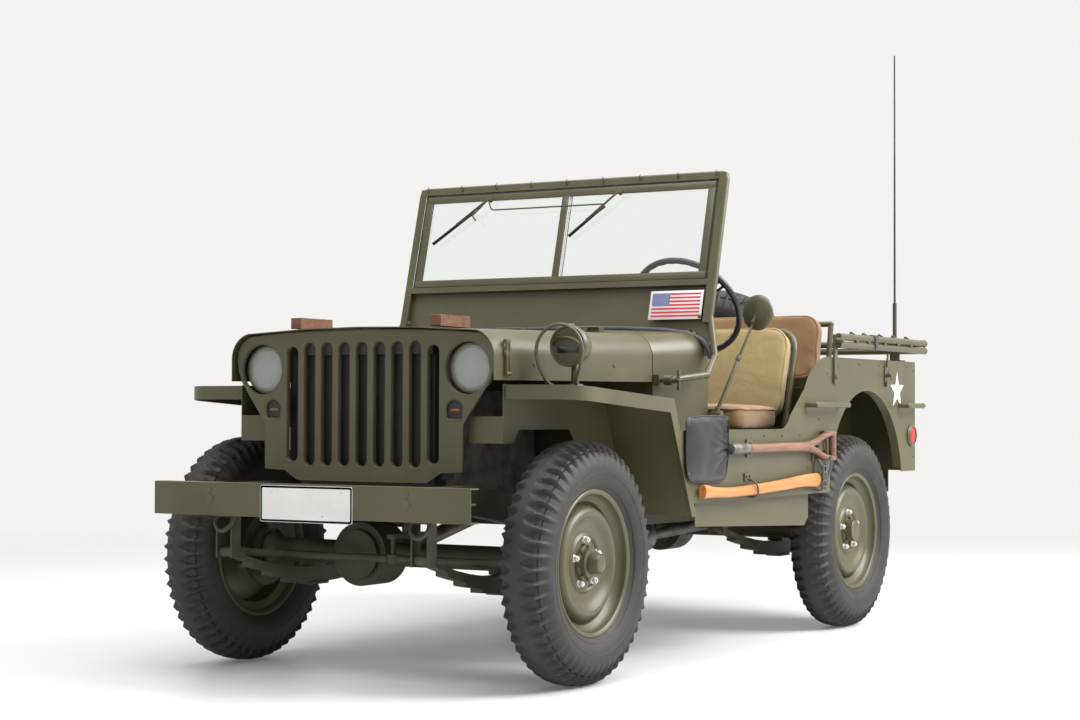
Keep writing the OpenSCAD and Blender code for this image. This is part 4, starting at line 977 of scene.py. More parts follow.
for row in range(9):
    odd = row % 2
    for col in range(6 - odd):
        x = FX0 + pad + 0.0055 + 0.0055 * odd + 0.011 * col
        s = corner_low + 0.004 + 0.0047 * row
        dots.append((x - DOT, s - DOT, 0.0126, x + DOT, s + DOT, 0.0133))
finish_piece(pane_boxes("flag_dots", dots, 0), "windshield", "white_plate", flag_white)
bm = bmesh.new()
for sx in (-1, 1):
    for x0, z0, x1, z1, r0, r1, sides in ((0.59, 0.918, 0.628, 0.918, 0.012, 0.0105, 24),
                                          (0.626, 0.918, 0.64, 0.918, 0.007, 0.007, 16),
                                          (0.636, 0.885, 0.636, 0.951, 0.0055, 0.0055, 14)):
        add_rod(bm, (sx * x0, -0.4915, z0), (sx * x1, -0.4915, z1), r0, r1, sides)
    add_bolt(bm, pane_point(sx * 0.59, 0.02, 0.012), OUT, 0.011, 0.004)
olive_piece("pivot_wing_clamps", bm, "windshield", 0.0012)

# ---------------------------------------------------------------- seat cushions
# Cotton canvas covers, tan and a little faded, sewn over horsehair pads and held on tube frames.
# Each has a welted seam round its edge and shallow pulls where the cover is tight.
def canvas_material(name, low, high):
    """Plain-weave cotton duck with faded patches."""
    m = soft_material(name, low, high, 0.86, 5.0, 0.1, 0.0, 1300.0)
    tree = m.node_tree
    wire = tree.links.new
    bsdf = tree.nodes["Principled BSDF"]
    bsdf.inputs["Sheen Weight"].default_value = 0.25
    coord = new_node(tree, "TexCoord")
    height = None
    for axis in ("X", "Y", "Z"):
        weave = new_node(tree, "TexWave", {"Scale": 190.0, "Distortion": 0.6}, wave_type="BANDS",
                         bands_direction=axis)
        wire(coord.outputs["Object"], weave.inputs["Vector"])
        if height is None:
            height = weave.outputs["Fac"]
        else:
            add = new_node(tree, "Math", operation="ADD")
            wire(height, add.inputs[0])
            wire(weave.outputs["Fac"], add.inputs[1])
            height = add.outputs["Value"]
    creases = new_node(tree, "TexNoise", {"Scale": 9.0, "Detail": 5.0, "Distortion": 1.2})
    wire(coord.outputs["Object"], creases.inputs["Vector"])
    weave_lift = new_node(tree, "Bump", {"Strength": 0.16, "Distance": 0.001})
    wire(height, weave_lift.inputs["Height"])
    crease_lift = new_node(tree, "Bump", {"Strength": 0.35, "Distance": 0.012})
    wire(creases.outputs["Fac"], crease_lift.inputs["Height"])
    wire(weave_lift.outputs["Normal"], crease_lift.inputs["Normal"])
    wire(crease_lift.outputs["Normal"], bsdf.inputs["Normal"])
    return m


canvas_tan = canvas_material("canvas_tan", (0.32, 0.235, 0.098), (0.41, 0.31, 0.14))
canvas_brown = canvas_material("canvas_brown", (0.215, 0.125, 0.052), (0.285, 0.172, 0.072))


def cushion(name, body, node, w, d, t, m, cloth, seed, corner=0.05, crown=0.1):
    """A crowned pad, flat underneath, whose sides pull in between its corners, with a welt."""
    bm = bmesh.new()
    outline = rounded(w, d, corner, 7)
    dense = []
    for i, p in enumerate(outline):
        q = outline[(i + 1) % len(outline)]
        gap = math.hypot(q[0] - p[0], q[1] - p[1])
        count = max(1, int(gap / 0.02))
        dense += [(p[0] + (q[0] - p[0]) * k / count, p[1] + (q[1] - p[1]) * k / count) for k in range(count)]
    levels = [(0.5, 0.0), (0.9, 0.0), (0.965, 0.04), (0.99, 0.18), (1.0, 0.45), (0.998, 0.7), (0.988, 0.86),
              (0.972, 0.94), (0.93, 0.985), (0.85, 1.0), (0.72, 1.0), (0.56, 1.0), (0.4, 1.0), (0.24, 1.0),
              (0.1, 1.0)]
    rings = []
    for scale, up in levels:
        ring = []
        for x, y in dense:
            u = abs(x) / (w / 2)
            v = abs(y) / (d / 2)
            square = min(u, v) / max(u, v, 0.001)
            pull = 1 - 0.022 * (1 - square) * (0.4 + 0.6 * (1 - abs(2 * up - 1)))
            px = x * scale * pull
            py = y * scale * pull
            dome = (1 - (2 * px / w) ** 2) * (1 - (2 * py / d) ** 2)
            z = t * up * 0.9 + (t * crown * dome if up > 0.9 else 0)
            wrinkle = noise.noise(Vector((px * 9 + seed, py * 9, up * 2))) * 0.0035
            fine = noise.noise(Vector((px * 26, py * 26 + seed, up * 3))) * 0.0014
            top = 1 if up > 0.5 else 0
            edge_fold = 0.0064 * top * max(0.0, scale - 0.8) * math.sin(70 * (px + py) + seed)
            z += (wrinkle + fine + edge_fold) * up
            ring.append(bm.verts.new((px, py, max(0.0, z))))
        rings.append(ring)
    welt_line = [v.co.copy() for v in rings[6]]
    obj = loft(name, bm, rings, 0.0, 80)
    obj.modifiers.clear()
    soft = obj.modifiers.new("soft", "SUBSURF")
    soft.levels = 1
    soft.render_levels = 1
    welt = tube(name + "_welt", welt_line, 0.0042, 0, 8, True)
    pad_piece = joined(name, [obj, welt])
    pad_piece.data.transform(m)
    pad_piece.data.shade_smooth()
    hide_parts(node)
    finish_piece(pad_piece, body, "canvas", cloth)
    return pad_piece


def leaning(x, y, z, angle, up, forward):
    """Matrix that lays a pad's flat side on a seat back leaning rearwards."""
    lean = math.radians(angle)
    rise = Vector((0, math.sin(lean), math.cos(lean)))
    ahead = Vector((0, -math.cos(lean), math.sin(lean)))
    at = Vector((x, y, z)) + rise * up + ahead * forward
    cols = (Vector((1, 0, 0)), rise, ahead)
    turn = Matrix([[c[i] for c in cols] for i in range(3)]).to_4x4()
    if turn.determinant() < 0:
        turn = turn @ Matrix.Diagonal((-1, 1, 1, 1))
    return Matrix.Translation(at) @ turn


SEAT_X = 0.41
TUBE_X = 0.211
for tag, sx, body in (("driver", 1, "car"), ("passenger", -1, "passenger_seat")):
    seat_m = Matrix.Translation((sx * SEAT_X, 0.1785, 0.755))
    cushion(tag + "_seat_pad", body, tag + "_cushions", 0.414, 0.358, 0.09, seat_m, canvas_brown, 3.1 + sx,
            0.06)
    back_m = leaning(sx * SEAT_X, 0.3745, 0.715, 16.9, 0.232, 0.0103)
    cushion(tag + "_back_pad", body, tag + "_cushions", 0.412, 0.35, 0.062, back_m, canvas_tan, 7.7 + sx,
            0.072, 0.16)
    hoop = [back_m @ Vector((x, up, -0.006)) for x, up in ((-TUBE_X, -0.185), (-TUBE_X, 0.183),
                                                           (TUBE_X, 0.183), (TUBE_X, -0.185))]
    bars = [tube("hoop", hoop, 0.0115, 0.085, 16)]
    for side in (-1, 1):
        px = sx * SEAT_X + side * 0.222
        rail = [(px, -0.0155, 0.552), (px, -0.0055, 0.735), (px, 0.3745, 0.712), (px, 0.3745, 0.542)]
        bars.append(tube("rail", rail, 0.0115, 0.035, 16))
        low = Vector((px, 0.3745, 0.712))
        bars.append(tube("link", [low, back_m @ Vector((side * TUBE_X, -0.12, -0.006))], 0.0112, 0, 16))
        bars.append(tube("foot", [(px - 0.02, -0.0155, 0.552), (px + 0.02, -0.0155, 0.552)], 0.011, 0, 16))
    for y, z in ((-0.0055, 0.742), (0.3745, 0.712)):
        bars.append(tube("cross", [(sx * SEAT_X - 0.222, y, z), (sx * SEAT_X + 0.222, y, z)], 0.0098, 0, 16))
    for up in (-0.052, 0.118):
        ends = [back_m @ Vector((x, up, -0.008)) for x in (-TUBE_X, TUBE_X)]
        bars.append(tube("cross", ends, 0.0098, 0, 16))
    seat_tubes = joined(tag + "_seat_tubes", bars)
    shade(seat_tubes, 40)
    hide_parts(tag + "_seat_frame")
    finish_piece(seat_tubes, body, "olive_paint", olive)
bench_m = Matrix.Translation((0, 0.9765, 0.8025))
cushion("rear_seat_pad", "car", "rear_cushion", 0.846, 0.356, 0.08, bench_m, canvas_brown, 12.3, 0.045)
rear_m = leaning(0.0, 1.2065, 0.81, 9.5, 0.262, 0.0113)
cushion("rear_back_pad", "rear_back", "rear_back_cushion", 0.82, 0.25, 0.068, rear_m, canvas_brown, 17.9,
        0.065, 0.12)

# ---------------------------------------------------------------- steering wheel
# Hard black rubber moulded over a steel ring, with finger grips on its inner side, three round
# spokes and a horn button at the hub.
wheel_black = soft_material("wheel_black", (0.01, 0.01, 0.011), (0.022, 0.021, 0.021), 0.34, 30.0, 0.1)
WHEEL_C = Vector((0.4, 0.0385, 1.185))
WHEEL_AXIS = Vector((0, 0.8028, 0.5962))
bm = bmesh.new()
GRIP_STEPS = 180
RING_R = 0.1928
ring_rows = []
for s in range(GRIP_STEPS):
    a = 2 * math.pi * s / GRIP_STEPS
    row = []
    for k in range(14):
        b = 2 * math.pi * k / 14
        grip = 0.0022 * (0.5 + 0.5 * math.cos(30 * a)) if math.cos(b) < -0.2 else 0.0
        r = RING_R + (0.0115 - grip) * math.cos(b)
        row.append(bm.verts.new((r * math.cos(a), r * math.sin(a), 0.0115 * math.sin(b))))
    ring_rows.append(row)
skin(bm, ring_rows + ring_rows[:1])
for a in (-90, 30, 150):
    c = math.cos(math.radians(a))
    s = math.sin(math.radians(a))
    for off in (-0.011, 0.011):
        for r0, z0, r1, z1, thick in ((0.02, -0.012, 0.1, -0.008, 0.0048),
                                      (0.098, -0.0082, 0.186, -0.001, 0.005)):
            add_rod(bm, (r0 * c - off * s, r0 * s + off * c, z0), (r1 * c - off * s, r1 * s + off * c, z1),
                    0.0048, thick, 12)
add_rod(bm, (0, 0, -0.03), (0, 0, -0.004), 0.03, 0.027, 36)
add_rod(bm, (0, 0, -0.006), (0, 0, 0.004), 0.019, 0.016, 32)
bmesh.ops.recalc_face_normals(bm, faces=bm.faces)
wheel = from_bmesh("grip_steering_wheel", bm, 0.0008, 45)
wheel.data.transform(Matrix.Translation(WHEEL_C) @ WHEEL_AXIS.to_track_quat("Z", "Y").to_matrix().to_4x4())
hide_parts("steering_wheel")
finish_piece(wheel, "steering_wheel", "black_plastic", wheel_black)

# ---------------------------------------------------------------- side mirror
# A round spun-steel mirror head on a tube arm in two diameters, clamped to the cowl side.
arm_low = Vector((0.65, -0.2355, 0.818))
arm_high = Vector((0.714, -0.087, 1.12))
arm_mid = arm_low.lerp(arm_high, 0.6)
bm = bmesh.new()
add_rod(bm, arm_low, arm_mid, 0.007, None, 16)
add_rod(bm, arm_mid, arm_high, 0.005, None, 16)
add_rod(bm, arm_mid.lerp(arm_low, 0.06), arm_mid.lerp(arm_high, 0.04), 0.0095, 0.0085, 16)
add_rod(bm, arm_high - Vector((0, 0.004, 0.004)), Vector((0.722, -0.085, 1.15)), 0.0065, 0.007, 14)
add_bolt(bm, (0.716, -0.096, 1.122), (0, -1, 0.2), 0.012, 0.007)
add_rod(bm, (0.632, -0.2355, 0.806), (0.668, -0.2355, 0.806), 0.013, 0.013, 20)
add_rod(bm, (0.64, -0.2355, 0.8), (0.652, -0.234, 0.832), 0.01, 0.009, 16)
olive_piece("mirror_arm", bm, "car", 0.0006)
head = turned_y("mirror_head", [(-0.017, 0.0005), (-0.0166, 0.012), (-0.015, 0.028), (-0.012, 0.043),
                                (-0.0075, 0.055), (-0.002, 0.0605), (0.003, 0.061), (0.0045, 0.059),
                                (0.004, 0.0575), (0.0012, 0.0572), (0.001, 0.0005)], (0, 0, 0), 60, 0, 50)
head_turn = Matrix.Translation((0.724, -0.0755, 1.153)) @ Matrix.Rotation(math.radians(-8), 4, "Z")
head.data.transform(head_turn)
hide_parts("side_mirror")
finish_piece(head, "car", "olive_paint", olive)
# The mirror face is near-white and mostly diffuse: a painted reflection.
mirror_face = turned_y("mirror_face", [(0.0014, 0.0005), (0.002, 0.0005), (0.002, 0.0568), (0.0014, 0.0568)],
                       (0, 0, 0), 60)
mirror_face.data.transform(head_turn)
finish_piece(mirror_face, "car", "lamp_metal", painted_reflection_white)

# ---------------------------------------------------------------- shovel and axe on the left side
# A shovel with its blade in a soft black leather cover, a wooden shaft that splits into a D grip,
# and a bare axe helve below it, both strapped to brackets on the body side.
shovel_wood = soft_material("shovel_wood", (0.15, 0.07, 0.04), (0.25, 0.13, 0.08), 0.48, 7.0, 0.2, 0.0,
                            120.0)
axe_wood = soft_material("axe_wood", (0.48, 0.17, 0.04), (0.64, 0.26, 0.075), 0.42, 6.0, 0.2, 0.0, 120.0)
leather = soft_material("black_leather", (0.009, 0.009, 0.01), (0.022, 0.022, 0.025), 0.4, 7.0, 0.45, 0.0,
                        260.0)
strap_web = soft_material("strap_webbing", (0.03, 0.032, 0.03), (0.055, 0.058, 0.052), 0.75, 30.0, 0.5, 0.0,
                          900.0)
for wood in (shovel_wood, axe_wood):
    stretch_grain(wood, (9.0, 1.0, 9.0))
TOOL_X = 0.756
SHOVEL_Z = 0.694
cover_edge = [(-0.352, 0.668), (-0.352, 0.7), (-0.35, 0.76), (-0.348, 0.8), (-0.38, 0.8015), (-0.47, 0.803),
              (-0.56, 0.802), (-0.64, 0.798), (-0.6545, 0.78), (-0.655, 0.7), (-0.653, 0.64), (-0.64, 0.605),
              (-0.6, 0.592), (-0.5, 0.589), (-0.4, 0.59), (-0.375, 0.596), (-0.36, 0.63)]
fine_edge = []
for i, p in enumerate(cover_edge):
    q = cover_edge[(i + 1) % len(cover_edge)]
    for k in range(6):
        fine_edge.append((p[0] + (q[0] - p[0]) * k / 6, p[1] + (q[1] - p[1]) * k / 6))
cover_mid = (-0.505, 0.696)
bm = bmesh.new()
rows = []
for side in (1, -1):
    for step in (range(0, 13) if side == 1 else range(11, -1, -1)):
        scale = step / 12 if step else 0.02
        row = []
        for y, z in fine_edge:
            yy = cover_mid[0] + (y - cover_mid[0]) * scale
            zz = cover_mid[1] + (z - cover_mid[1]) * scale
            bulge = math.sqrt(max(0.0, 1 - scale ** 2.6))
            if side == 1:
                near = max(0.0, 1 - math.hypot(yy + 0.352, (zz - 0.694) * 0.9) / 0.16)
                fan = math.sin(math.atan2(zz - 0.694, yy + 0.335) * 15) * 0.0085 * near
                soft_fold = noise.noise(Vector((yy * 15, zz * 10, 2.7))) * 0.007
                x = 0.745 + 0.014 * bulge + (fan + soft_fold) * bulge ** 0.5
            else:
                x = 0.745 - 0.0045 * bulge
            row.append(bm.verts.new((max(0.7392, x), yy, zz)))
        rows.append(row)
shovel_cover = loft("shovel_cover", bm, rows, 0.0, 70)
hem = tube("shovel_cover_hem", [(0.7462, y, z) for y, z in cover_edge], 0.0028, 0.02, 8, True)
shovel_cover = joined("shovel_blade_cover", [shovel_cover, hem])
shovel_cover.data.shade_smooth()
finish_piece(shovel_cover, "car", "black_plastic", leather)
cover_bolts = bmesh.new()
for y, z in ((-0.64, 0.62), (-0.64, 0.785), (-0.372, 0.79), (-0.38, 0.602)):
    add_rod(cover_bolts, (0.745, y, z), (0.7495, y, z), 0.005, 0.004, 16)
steel_piece("cover_studs", cover_bolts, "car", 0.0004)
bm = bmesh.new()
add_rod(bm, (0.7555, -0.356, 0.694), (0.756, -0.215, 0.694), 0.0185, 0.016, 28)
add_rod(bm, (0.756, -0.216, 0.694), (0.756, -0.21, 0.694), 0.0165, 0.015, 28)
steel_piece("shovel_socket", bm, "car", 0.0008)


def oval_shaft(name, keys, steps, sides=20):
    """A shaped wooden shaft: keys along Y, each with its place, half width and half height."""
    bm = bmesh.new()
    rings = []
    for x, y, z, w, h in smooth_run(keys, steps):
        ring = [spread(1, sides, k) for k in range(sides)]
        rings.append([bm.verts.new((x + w * c, y, z + h * s)) for c, s in ring])
    return loft(name, bm, rings, 0.0, 50)


def smooth_run(keys, steps):
    """Points between the keys on a smooth curve."""
    out = []
    for i in range(len(keys) - 1):
        p0 = keys[max(0, i - 1)]
        p1 = keys[i]
        p2 = keys[i + 1]
        p3 = keys[min(len(keys) - 1, i + 2)]
        for k in range(steps):
            t = k / steps
            blend = [0.5 * (2 * b + (c - a) * t + (2 * a - 5 * b + 4 * c - d) * t * t
                            + (3 * b - a - 3 * c + d) * t ** 3) for a, b, c, d in zip(p0, p1, p2, p3)]
            out.append(tuple(blend))
    out.append(keys[-1])
    return out


limbs = [oval_shaft("shovel_shaft_rod", [
    (TOOL_X, -0.212, SHOVEL_Z, 0.015, 0.015), (TOOL_X, 0.05, SHOVEL_Z, 0.015, 0.0155),
    (TOOL_X, 0.22, SHOVEL_Z, 0.0145, 0.017), (TOOL_X, 0.3, SHOVEL_Z, 0.014, 0.02)], 6)]
for sign in (1, -1):
    limb = [(TOOL_X, y, SHOVEL_Z + sign * dz, w, h) for y, dz, w, h in
            ((0.27, 0.006, 0.014, 0.012), (0.34, 0.015, 0.0135, 0.0115), (0.41, 0.034, 0.013, 0.011),
             (0.465, 0.044, 0.013, 0.0105), (0.51, 0.0445, 0.0125, 0.0095))]
    limbs.append(oval_shaft("shovel_limb_%d" % sign, limb, 6))
bm = bmesh.new()
add_rod(bm, (0.756, 0.5, 0.65), (0.756, 0.5, 0.738), 0.0135, 0.0135, 24)
limbs.append(from_bmesh("shovel_cross", bm, 0.003))
shovel_shaft = joined("shovel_shaft", limbs)
shade(shovel_shaft, 50)
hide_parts("hand_tools")
finish_piece(shovel_shaft, "car", "brown_wood", shovel_wood)
helve = oval_shaft("axe_helve", [(0.757, y, z, w, h) for y, z, w, h in (
    (-0.56, 0.561, 0.0135, 0.0225), (-0.525, 0.56, 0.013, 0.0215), (-0.48, 0.557, 0.0125, 0.0175),
    (-0.35, 0.553, 0.0125, 0.0165), (-0.15, 0.557, 0.0125, 0.0175), (0.05, 0.565, 0.0125, 0.019),
    (0.22, 0.574, 0.0125, 0.021), (0.32, 0.575, 0.012, 0.0235), (0.412, 0.573, 0.0115, 0.026))], 8, 24)
finish_piece(helve, "car", "brown_wood", axe_wood)


def strap(name, points, width, thick):
    """A flat strap that follows the points; its width lies along Y."""
    bm = bmesh.new()
    line = [Vector(p) for p in points]
    across = Vector((0, 1, 0))
    rows = []
    for i, p in enumerate(line):
        a = line[max(0, i - 1)]
        b = line[min(len(line) - 1, i + 1)]
        run = (b - a).normalized()
        out = run.cross(across).normalized()
        rows.append([bm.verts.new(p + across * sx * width / 2 + out * sy * thick / 2)
                     for sx, sy in ((-1, -1), (1, -1), (1, 1), (-1, 1))])
    obj = loft(name, bm, rows, 0.0004, 60)
    finish_piece(obj, "car", "black_plastic", strap_web)
    return obj


strap("axe_strap", [(0.7395, 0.378, 0.655), (0.752, 0.378, 0.65), (0.769, 0.379, 0.625), (0.7725, 0.38, 0.6),
                    (0.7735, 0.381, 0.572), (0.771, 0.381, 0.548), (0.76, 0.381, 0.536),
                    (0.742, 0.381, 0.538)], 0.026, 0.0028)
strap("axe_strap_tail", [(0.765, 0.42, 0.64), (0.768, 0.418, 0.61), (0.769, 0.415, 0.575),
                         (0.765, 0.412, 0.54)], 0.02, 0.0026)
strap("shovel_strap", [(0.7395, 0.452, 0.668), (0.756, 0.452, 0.66), (0.7715, 0.451, 0.654),
                       (0.7735, 0.449, 0.64), (0.772, 0.446, 0.61), (0.76, 0.442, 0.58),
                       (0.744, 0.44, 0.56)], 0.022, 0.0026)
bm = bmesh.new()
for z in (0.612, 0.56):
    frame_corners = [(0.7758, 0.38 + dy, z + dz) for dy, dz in ((-0.017, -0.01), (0.017, -0.01),
                                                                (0.017, 0.01), (-0.017, 0.01))]
    for a, b in ((0, 1), (3, 2), (0, 3), (1, 2)):
        add_rod(bm, frame_corners[a], frame_corners[b], 0.002, None, 10)
steel_piece("strap_buckles", bm)
loop_line = [(0.7385, -0.19, 0.592), (0.756, -0.187, 0.588), (0.7745, -0.184, 0.572), (0.7755, -0.18, 0.556),
             (0.774, -0.176, 0.54), (0.756, -0.173, 0.53), (0.7385, -0.17, 0.532)]
axe_loop = tube("axe_loop", loop_line, 0.0034, 0.012, 10)
cradle_line = [(0.7385, 0.432, 0.742), (0.754, 0.434, 0.748), (0.7545, 0.452, 0.7), (0.754, 0.452, 0.672),
               (0.7385, 0.45, 0.668)]
cradle = tube("shovel_cradle", cradle_line, 0.005, 0.012, 10)
bm = bmesh.new()
for lo, hi in (((0.7378, 0.395, 0.676), (0.744, 0.48, 0.712)),
               ((0.7378, -0.215, 0.585), (0.7425, -0.165, 0.612)),
               ((0.7378, -0.2, 0.664), (0.743, -0.15, 0.724)),
               ((0.7378, 0.35, 0.64), (0.743, 0.405, 0.668))):
    add_box(bm, lo, hi)
for y, z in ((0.405, 0.694), (0.468, 0.694), (-0.204, 0.6), (-0.176, 0.6), (-0.175, 0.712), (-0.175, 0.676)):
    add_rod(bm, (0.7425, y, z), (0.747, y, z), 0.005, 0.0038, 14)
side_brackets = joined("tool_brackets", [axe_loop, cradle, from_bmesh("bracket_plates", bm, 0.0012)])
finish_piece(side_brackets, "car", "olive_paint", olive)

# ---------------------------------------------------------------- fender lamp
# A hooded driving lamp on the left fender, spun from steel and painted olive. It stands on one
# bolt behind a wire guard hoop, and shows only a slit of dark glass under its visor.
lens_dark = soft_material("lens_dark", (0.01, 0.011, 0.011), (0.022, 0.023, 0.022), 0.12, 16.0, 0.05)
lamp_c = (0.62, -1.165, 1.01)
shell = turned_y("lamp_shell", [(-0.018, 0.0005), (-0.0185, 0.03), (-0.018, 0.052), (-0.0215, 0.0545),
                                (-0.0235, 0.059), (-0.018, 0.0625), (-0.008, 0.0628), (-0.006, 0.06),
                                (0.015, 0.057), (0.042, 0.048), (0.066, 0.032), (0.08, 0.015),
                                (0.083, 0.0005)], lamp_c, 56, 0.0)
bm = bmesh.new()
arch_out = []
arch_in = []
for k in range(13):
    a = math.radians(15 * k)
    reach = 0.03 * math.sin(a) ** 0.6 if 0 < k < 12 else 0.0
    for rows, r in ((arch_out, 0.05), (arch_in, 0.0475)):
        x = lamp_c[0] + r * math.cos(a)
        z = lamp_c[2] + r * 0.55 * math.sin(a) + 0.002
        rows.append((bm.verts.new((x, lamp_c[1] - 0.017, z)),
                     bm.verts.new((x, lamp_c[1] - 0.02 - reach, z - 0.004))))
for k in range(12):
    for a, b in ((arch_out[k], arch_out[k + 1]), (arch_in[k + 1], arch_in[k])):
        bm.faces.new((a[0], b[0], b[1], a[1]))
    bm.faces.new((arch_out[k][1], arch_out[k + 1][1], arch_in[k + 1][1], arch_in[k][1]))
    bm.faces.new((arch_out[k + 1][0], arch_out[k][0], arch_in[k][0], arch_in[k + 1][0]))
bm.faces.new((arch_out[0][0], arch_out[0][1], arch_in[0][1], arch_in[0][0]))
bm.faces.new((arch_out[12][1], arch_out[12][0], arch_in[12][0], arch_in[12][1]))
bmesh.ops.recalc_face_normals(bm, faces=bm.faces)
hood_visor = from_bmesh("lamp_visor", bm, 0.0, 50)
hoop_line = [(0.576, -1.208, 0.8935), (0.57, -1.225, 0.905), (0.548, -1.233, 0.95)]
for k in range(0, 13):
    x, z = at_angle((lamp_c[0], 0.993), 0.0795, 200 - 220 * k / 12)
    hoop_line.append((x, -1.2345, z))
hoop_line += [(0.692, -1.233, 0.95), (0.67, -1.225, 0.905), (0.664, -1.208, 0.8935)]
guard = tube("lamp_guard", hoop_line, 0.0052, 0.01, 12)
bm = bmesh.new()
for z0, z1, r0, r1, sides in ((0.89, 0.956, 0.013, 0.0105, 20), (0.8895, 0.8965, 0.026, 0.024, 6)):
    add_rod(bm, (lamp_c[0], -1.14, z0), (lamp_c[0], -1.14, z1), r0, r1, sides)
for x in (lamp_c[0] - 0.044, lamp_c[0] + 0.044):
    for z0, z1, r0, r1, sides in ((0.888, 0.8935, 0.012, 0.01, 20), (0.893, 0.8985, 0.006, 0.0055, 6)):
        add_rod(bm, (x, -1.205, z0), (x, -1.205, z1), r0, r1, sides)
add_rod(bm, (0.62, -1.185, 1.071), (0.62, -1.15, 1.071), 0.0055, 0.0055, 12)
lamp_post = from_bmesh("lamp_post", bm, 0.0006)
driving_lamp = joined("driving_lamp", [shell, hood_visor, guard, lamp_post])
shade(driving_lamp, 42)
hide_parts("fender_lamp")
finish_piece(driving_lamp, "car", "olive_paint", olive)
window = slab("driving_lamp_window", rounded(0.072, 0.022, 0.004), lamp_c[1] - 0.02, lamp_c[1] - 0.017,
              (0.62, 0, 0.999), 0.0006)
finish_piece(window, "car", "lamp_metal", lens_dark)

# ---------------------------------------------------------------- body side fittings
# A white painted star, red reflectors in bolted rings, a lock bracket for the bows, grab handles
# and rows of small pan-head screws along the panel edges.
star_white = soft_material("star_white", (0.72, 0.72, 0.69), (0.8, 0.8, 0.77), 0.36, 22.0, 0.05)
for tag, sx in SIDES:
    tips = [at_angle((1.1915, 0.9), 0.0285 if k % 2 else 0.073, 90 + 36 * k) for k in range(10)]
    bm = bmesh.new()
    star = [[bm.verts.new((sx * x, y, z)) for y, z in tips] for x in (0.7374, 0.7382)]
    finish_piece(loft("side_star_" + tag, bm, star), "car", "white_plate", star_white)
SIDE_FACE = 0.7378
REFLECTOR_AT = (1.3385, 0.725)
red_glass = soft_material("red_glass", (0.38, 0.01, 0.012), (0.55, 0.022, 0.022), 0.14, 60.0, 0.15)


def turned_x(name, section, center, side, sides=48, angle=40):
    """A section of (out, radius) points turned about a line that runs along X."""
    bm = bmesh.new()
    turned(bm, section, sides, side, center)
    bmesh.ops.remove_doubles(bm, verts=bm.verts, dist=0.00001)
    bmesh.ops.recalc_face_normals(bm, faces=bm.faces)
    return from_bmesh(name, bm, 0.0, angle)


for tag, sx in SIDES:
    at = (sx * SIDE_FACE, REFLECTOR_AT[0], REFLECTOR_AT[1])
    ring = turned_x("reflector_ring_" + tag, [(0.0, 0.042), (0.0045, 0.042), (0.006, 0.0405), (0.011, 0.038),
                                              (0.0135, 0.0355), (0.0128, 0.033), (0.0085, 0.0325),
                                              (0.0, 0.0325)], at, sx)
    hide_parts("reflectors")
    finish_piece(ring, "car", "olive_paint", olive)
    lens = turned_x("reflector_lens_" + tag, [(0.001, 0.0324), (0.0095, 0.0322), (0.0112, 0.025),
                                              (0.0124, 0.013), (0.0128, 0.0003)], at, sx)
    finish_piece(lens, "car", "red_lens", red_glass)
    bm = bmesh.new()
    for k in range(3):
        y, z = at_angle(REFLECTOR_AT, 0.0392, 90 + 120 * k)
        add_rod(bm, (sx * 0.7415, y, z), (sx * 0.744, y, z), 0.0035, 0.0028, 12)
    steel_piece("reflector_screws_" + tag, bm)
dress("side_handles", olive, 0.001)
screw_rows = bmesh.new()
for sx in (-1, 1):
    spots = [(0.32, 0.62), (0.1, 0.735), (-0.05, 0.735), (0.25, 0.735), (0.42, 0.79), (1.37, 0.98),
             (1.37, 0.64), (0.6, 0.985), (0.5, 0.955), (1.3, 0.995), (1.0, 0.995), (0.8, 0.995),
             (0.28, 0.835), (0.62, 0.835)]
    for y, z in spots:
        add_rod(screw_rows, (sx * 0.737, y, z), (sx * 0.7402, y, z), 0.005, 0.0036, 14)
olive_piece("body_screws", screw_rows)
bm = bmesh.new()
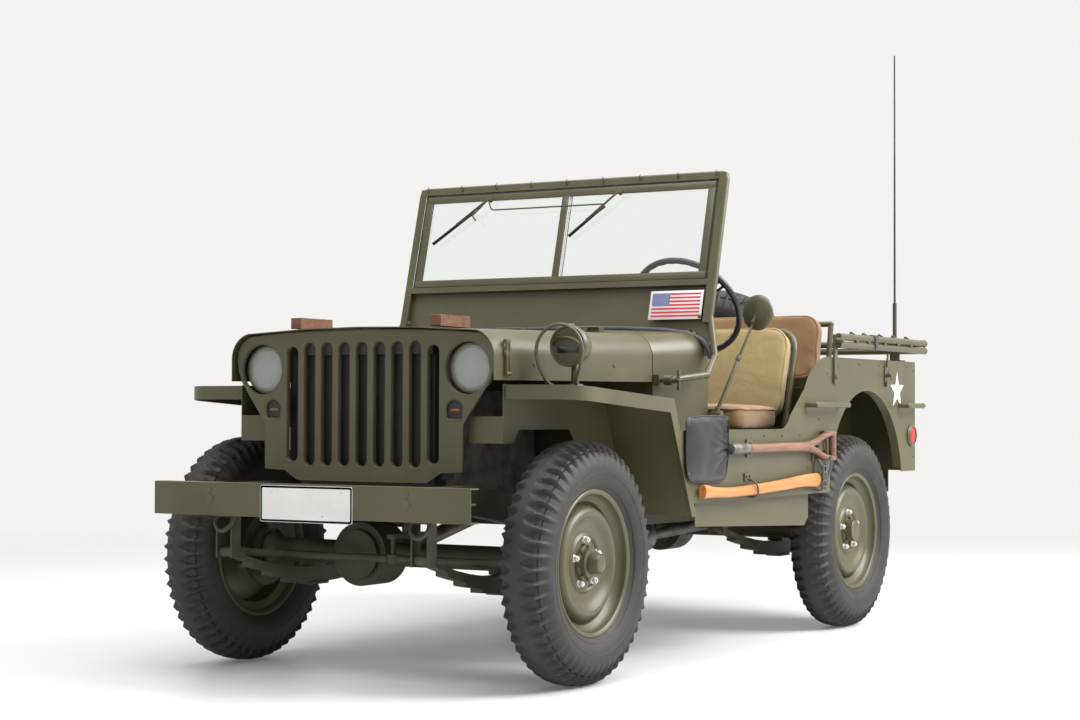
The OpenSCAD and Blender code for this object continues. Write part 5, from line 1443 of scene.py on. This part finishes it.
for sx in (-1, 1):
    for y0, y1, z0, z1, x1 in ((1.052, 1.082, 0.93, 0.995, 0.742), (1.06, 1.074, 0.915, 0.935, 0.748)):
        x_low, x_high = sorted((sx * SIDE_FACE, sx * x1))
        add_box(bm, (x_low, y0, z0), (x_high, y1, z1))
    for x0, y0, z0, x1, y1, z1, r0, r1, sides in (
            (0.74, 1.067, 0.958, 0.764, 1.067, 0.958, 0.0085, 0.0075, 20),
            (0.756, 1.05, 0.972, 0.756, 1.084, 0.944, 0.004, 0.004, 12),
            (0.744, 1.067, 0.99, 0.748, 1.067, 1.04, 0.0045, 0.004, 12)):
        add_rod(bm, (sx * x0, y0, z0), (sx * x1, y1, z1), r0, r1, sides)
olive_piece("bow_lock", bm, "car", 0.0008)

# ---------------------------------------------------------------- folded bows
# Two steel tube bows for a canvas top, folded down level behind the seats, with hooked clamps and
# a short web strap that ties them together.
dress("top_bows", olive, 0.001)
bm = bmesh.new()
for sx in (-1, 1):
    for y in (0.72, 0.84, 1.0, 1.14, 1.28):
        add_rod(bm, (sx * 0.7535, y, 1.104), (sx * 0.736, y + 0.004, 1.114), 0.0036, None, 10)
        add_rod(bm, (sx * 0.736, y + 0.004, 1.114), (sx * 0.73, y + 0.004, 1.1), 0.0036, None, 10)
        add_rod(bm, (sx * 0.76, y - 0.01, 1.0775), (sx * 0.76, y + 0.01, 1.0775), 0.006, None, 10)
    add_rod(bm, (sx * 0.745, 0.5605, 1.078), (sx * 0.774, 0.5605, 1.078), 0.012, 0.01, 20)
    add_rod(bm, (sx * 0.744, 0.5605, 0.945), (sx * 0.751, 0.5605, 0.945), 0.009, 0.007, 16)
olive_piece("bow_hooks", bm, "car", 0.0006)
for tag, sx in (("right", -1), ("left", 1)):
    strap("bow_strap_" + tag, [(sx * x, 0.9, z) for x, z in (
        (0.769, 1.05), (0.77, 1.0925), (0.766, 1.1068), (0.7535, 1.108), (0.74, 1.1068), (0.7372, 1.0925),
        (0.7372, 1.05))], 0.028, 0.0022)

# ---------------------------------------------------------------- antenna
# A tapered steel whip in dark olive. It is screwed into a rubber-cushioned base that is bolted
# to the rear left corner of the tub.
dress("antenna", dark_olive, 0.0)
antenna_boot = turned_x("antenna_boot", [(0.0, 0.0195), (0.01, 0.02), (0.018, 0.0165), (0.024, 0.0175),
                                         (0.032, 0.014), (0.038, 0.015), (0.046, 0.0105), (0.048, 0.0085)],
                        (0, 0, 0), 1, 32)
antenna_boot.data.transform(Matrix.Translation((0.7, 1.2645, 1.018)) @ Matrix.Rotation(math.radians(-90), 4,
                                                                                       "Y"))
finish_piece(antenna_boot, "car", "black_plastic", black_paint)
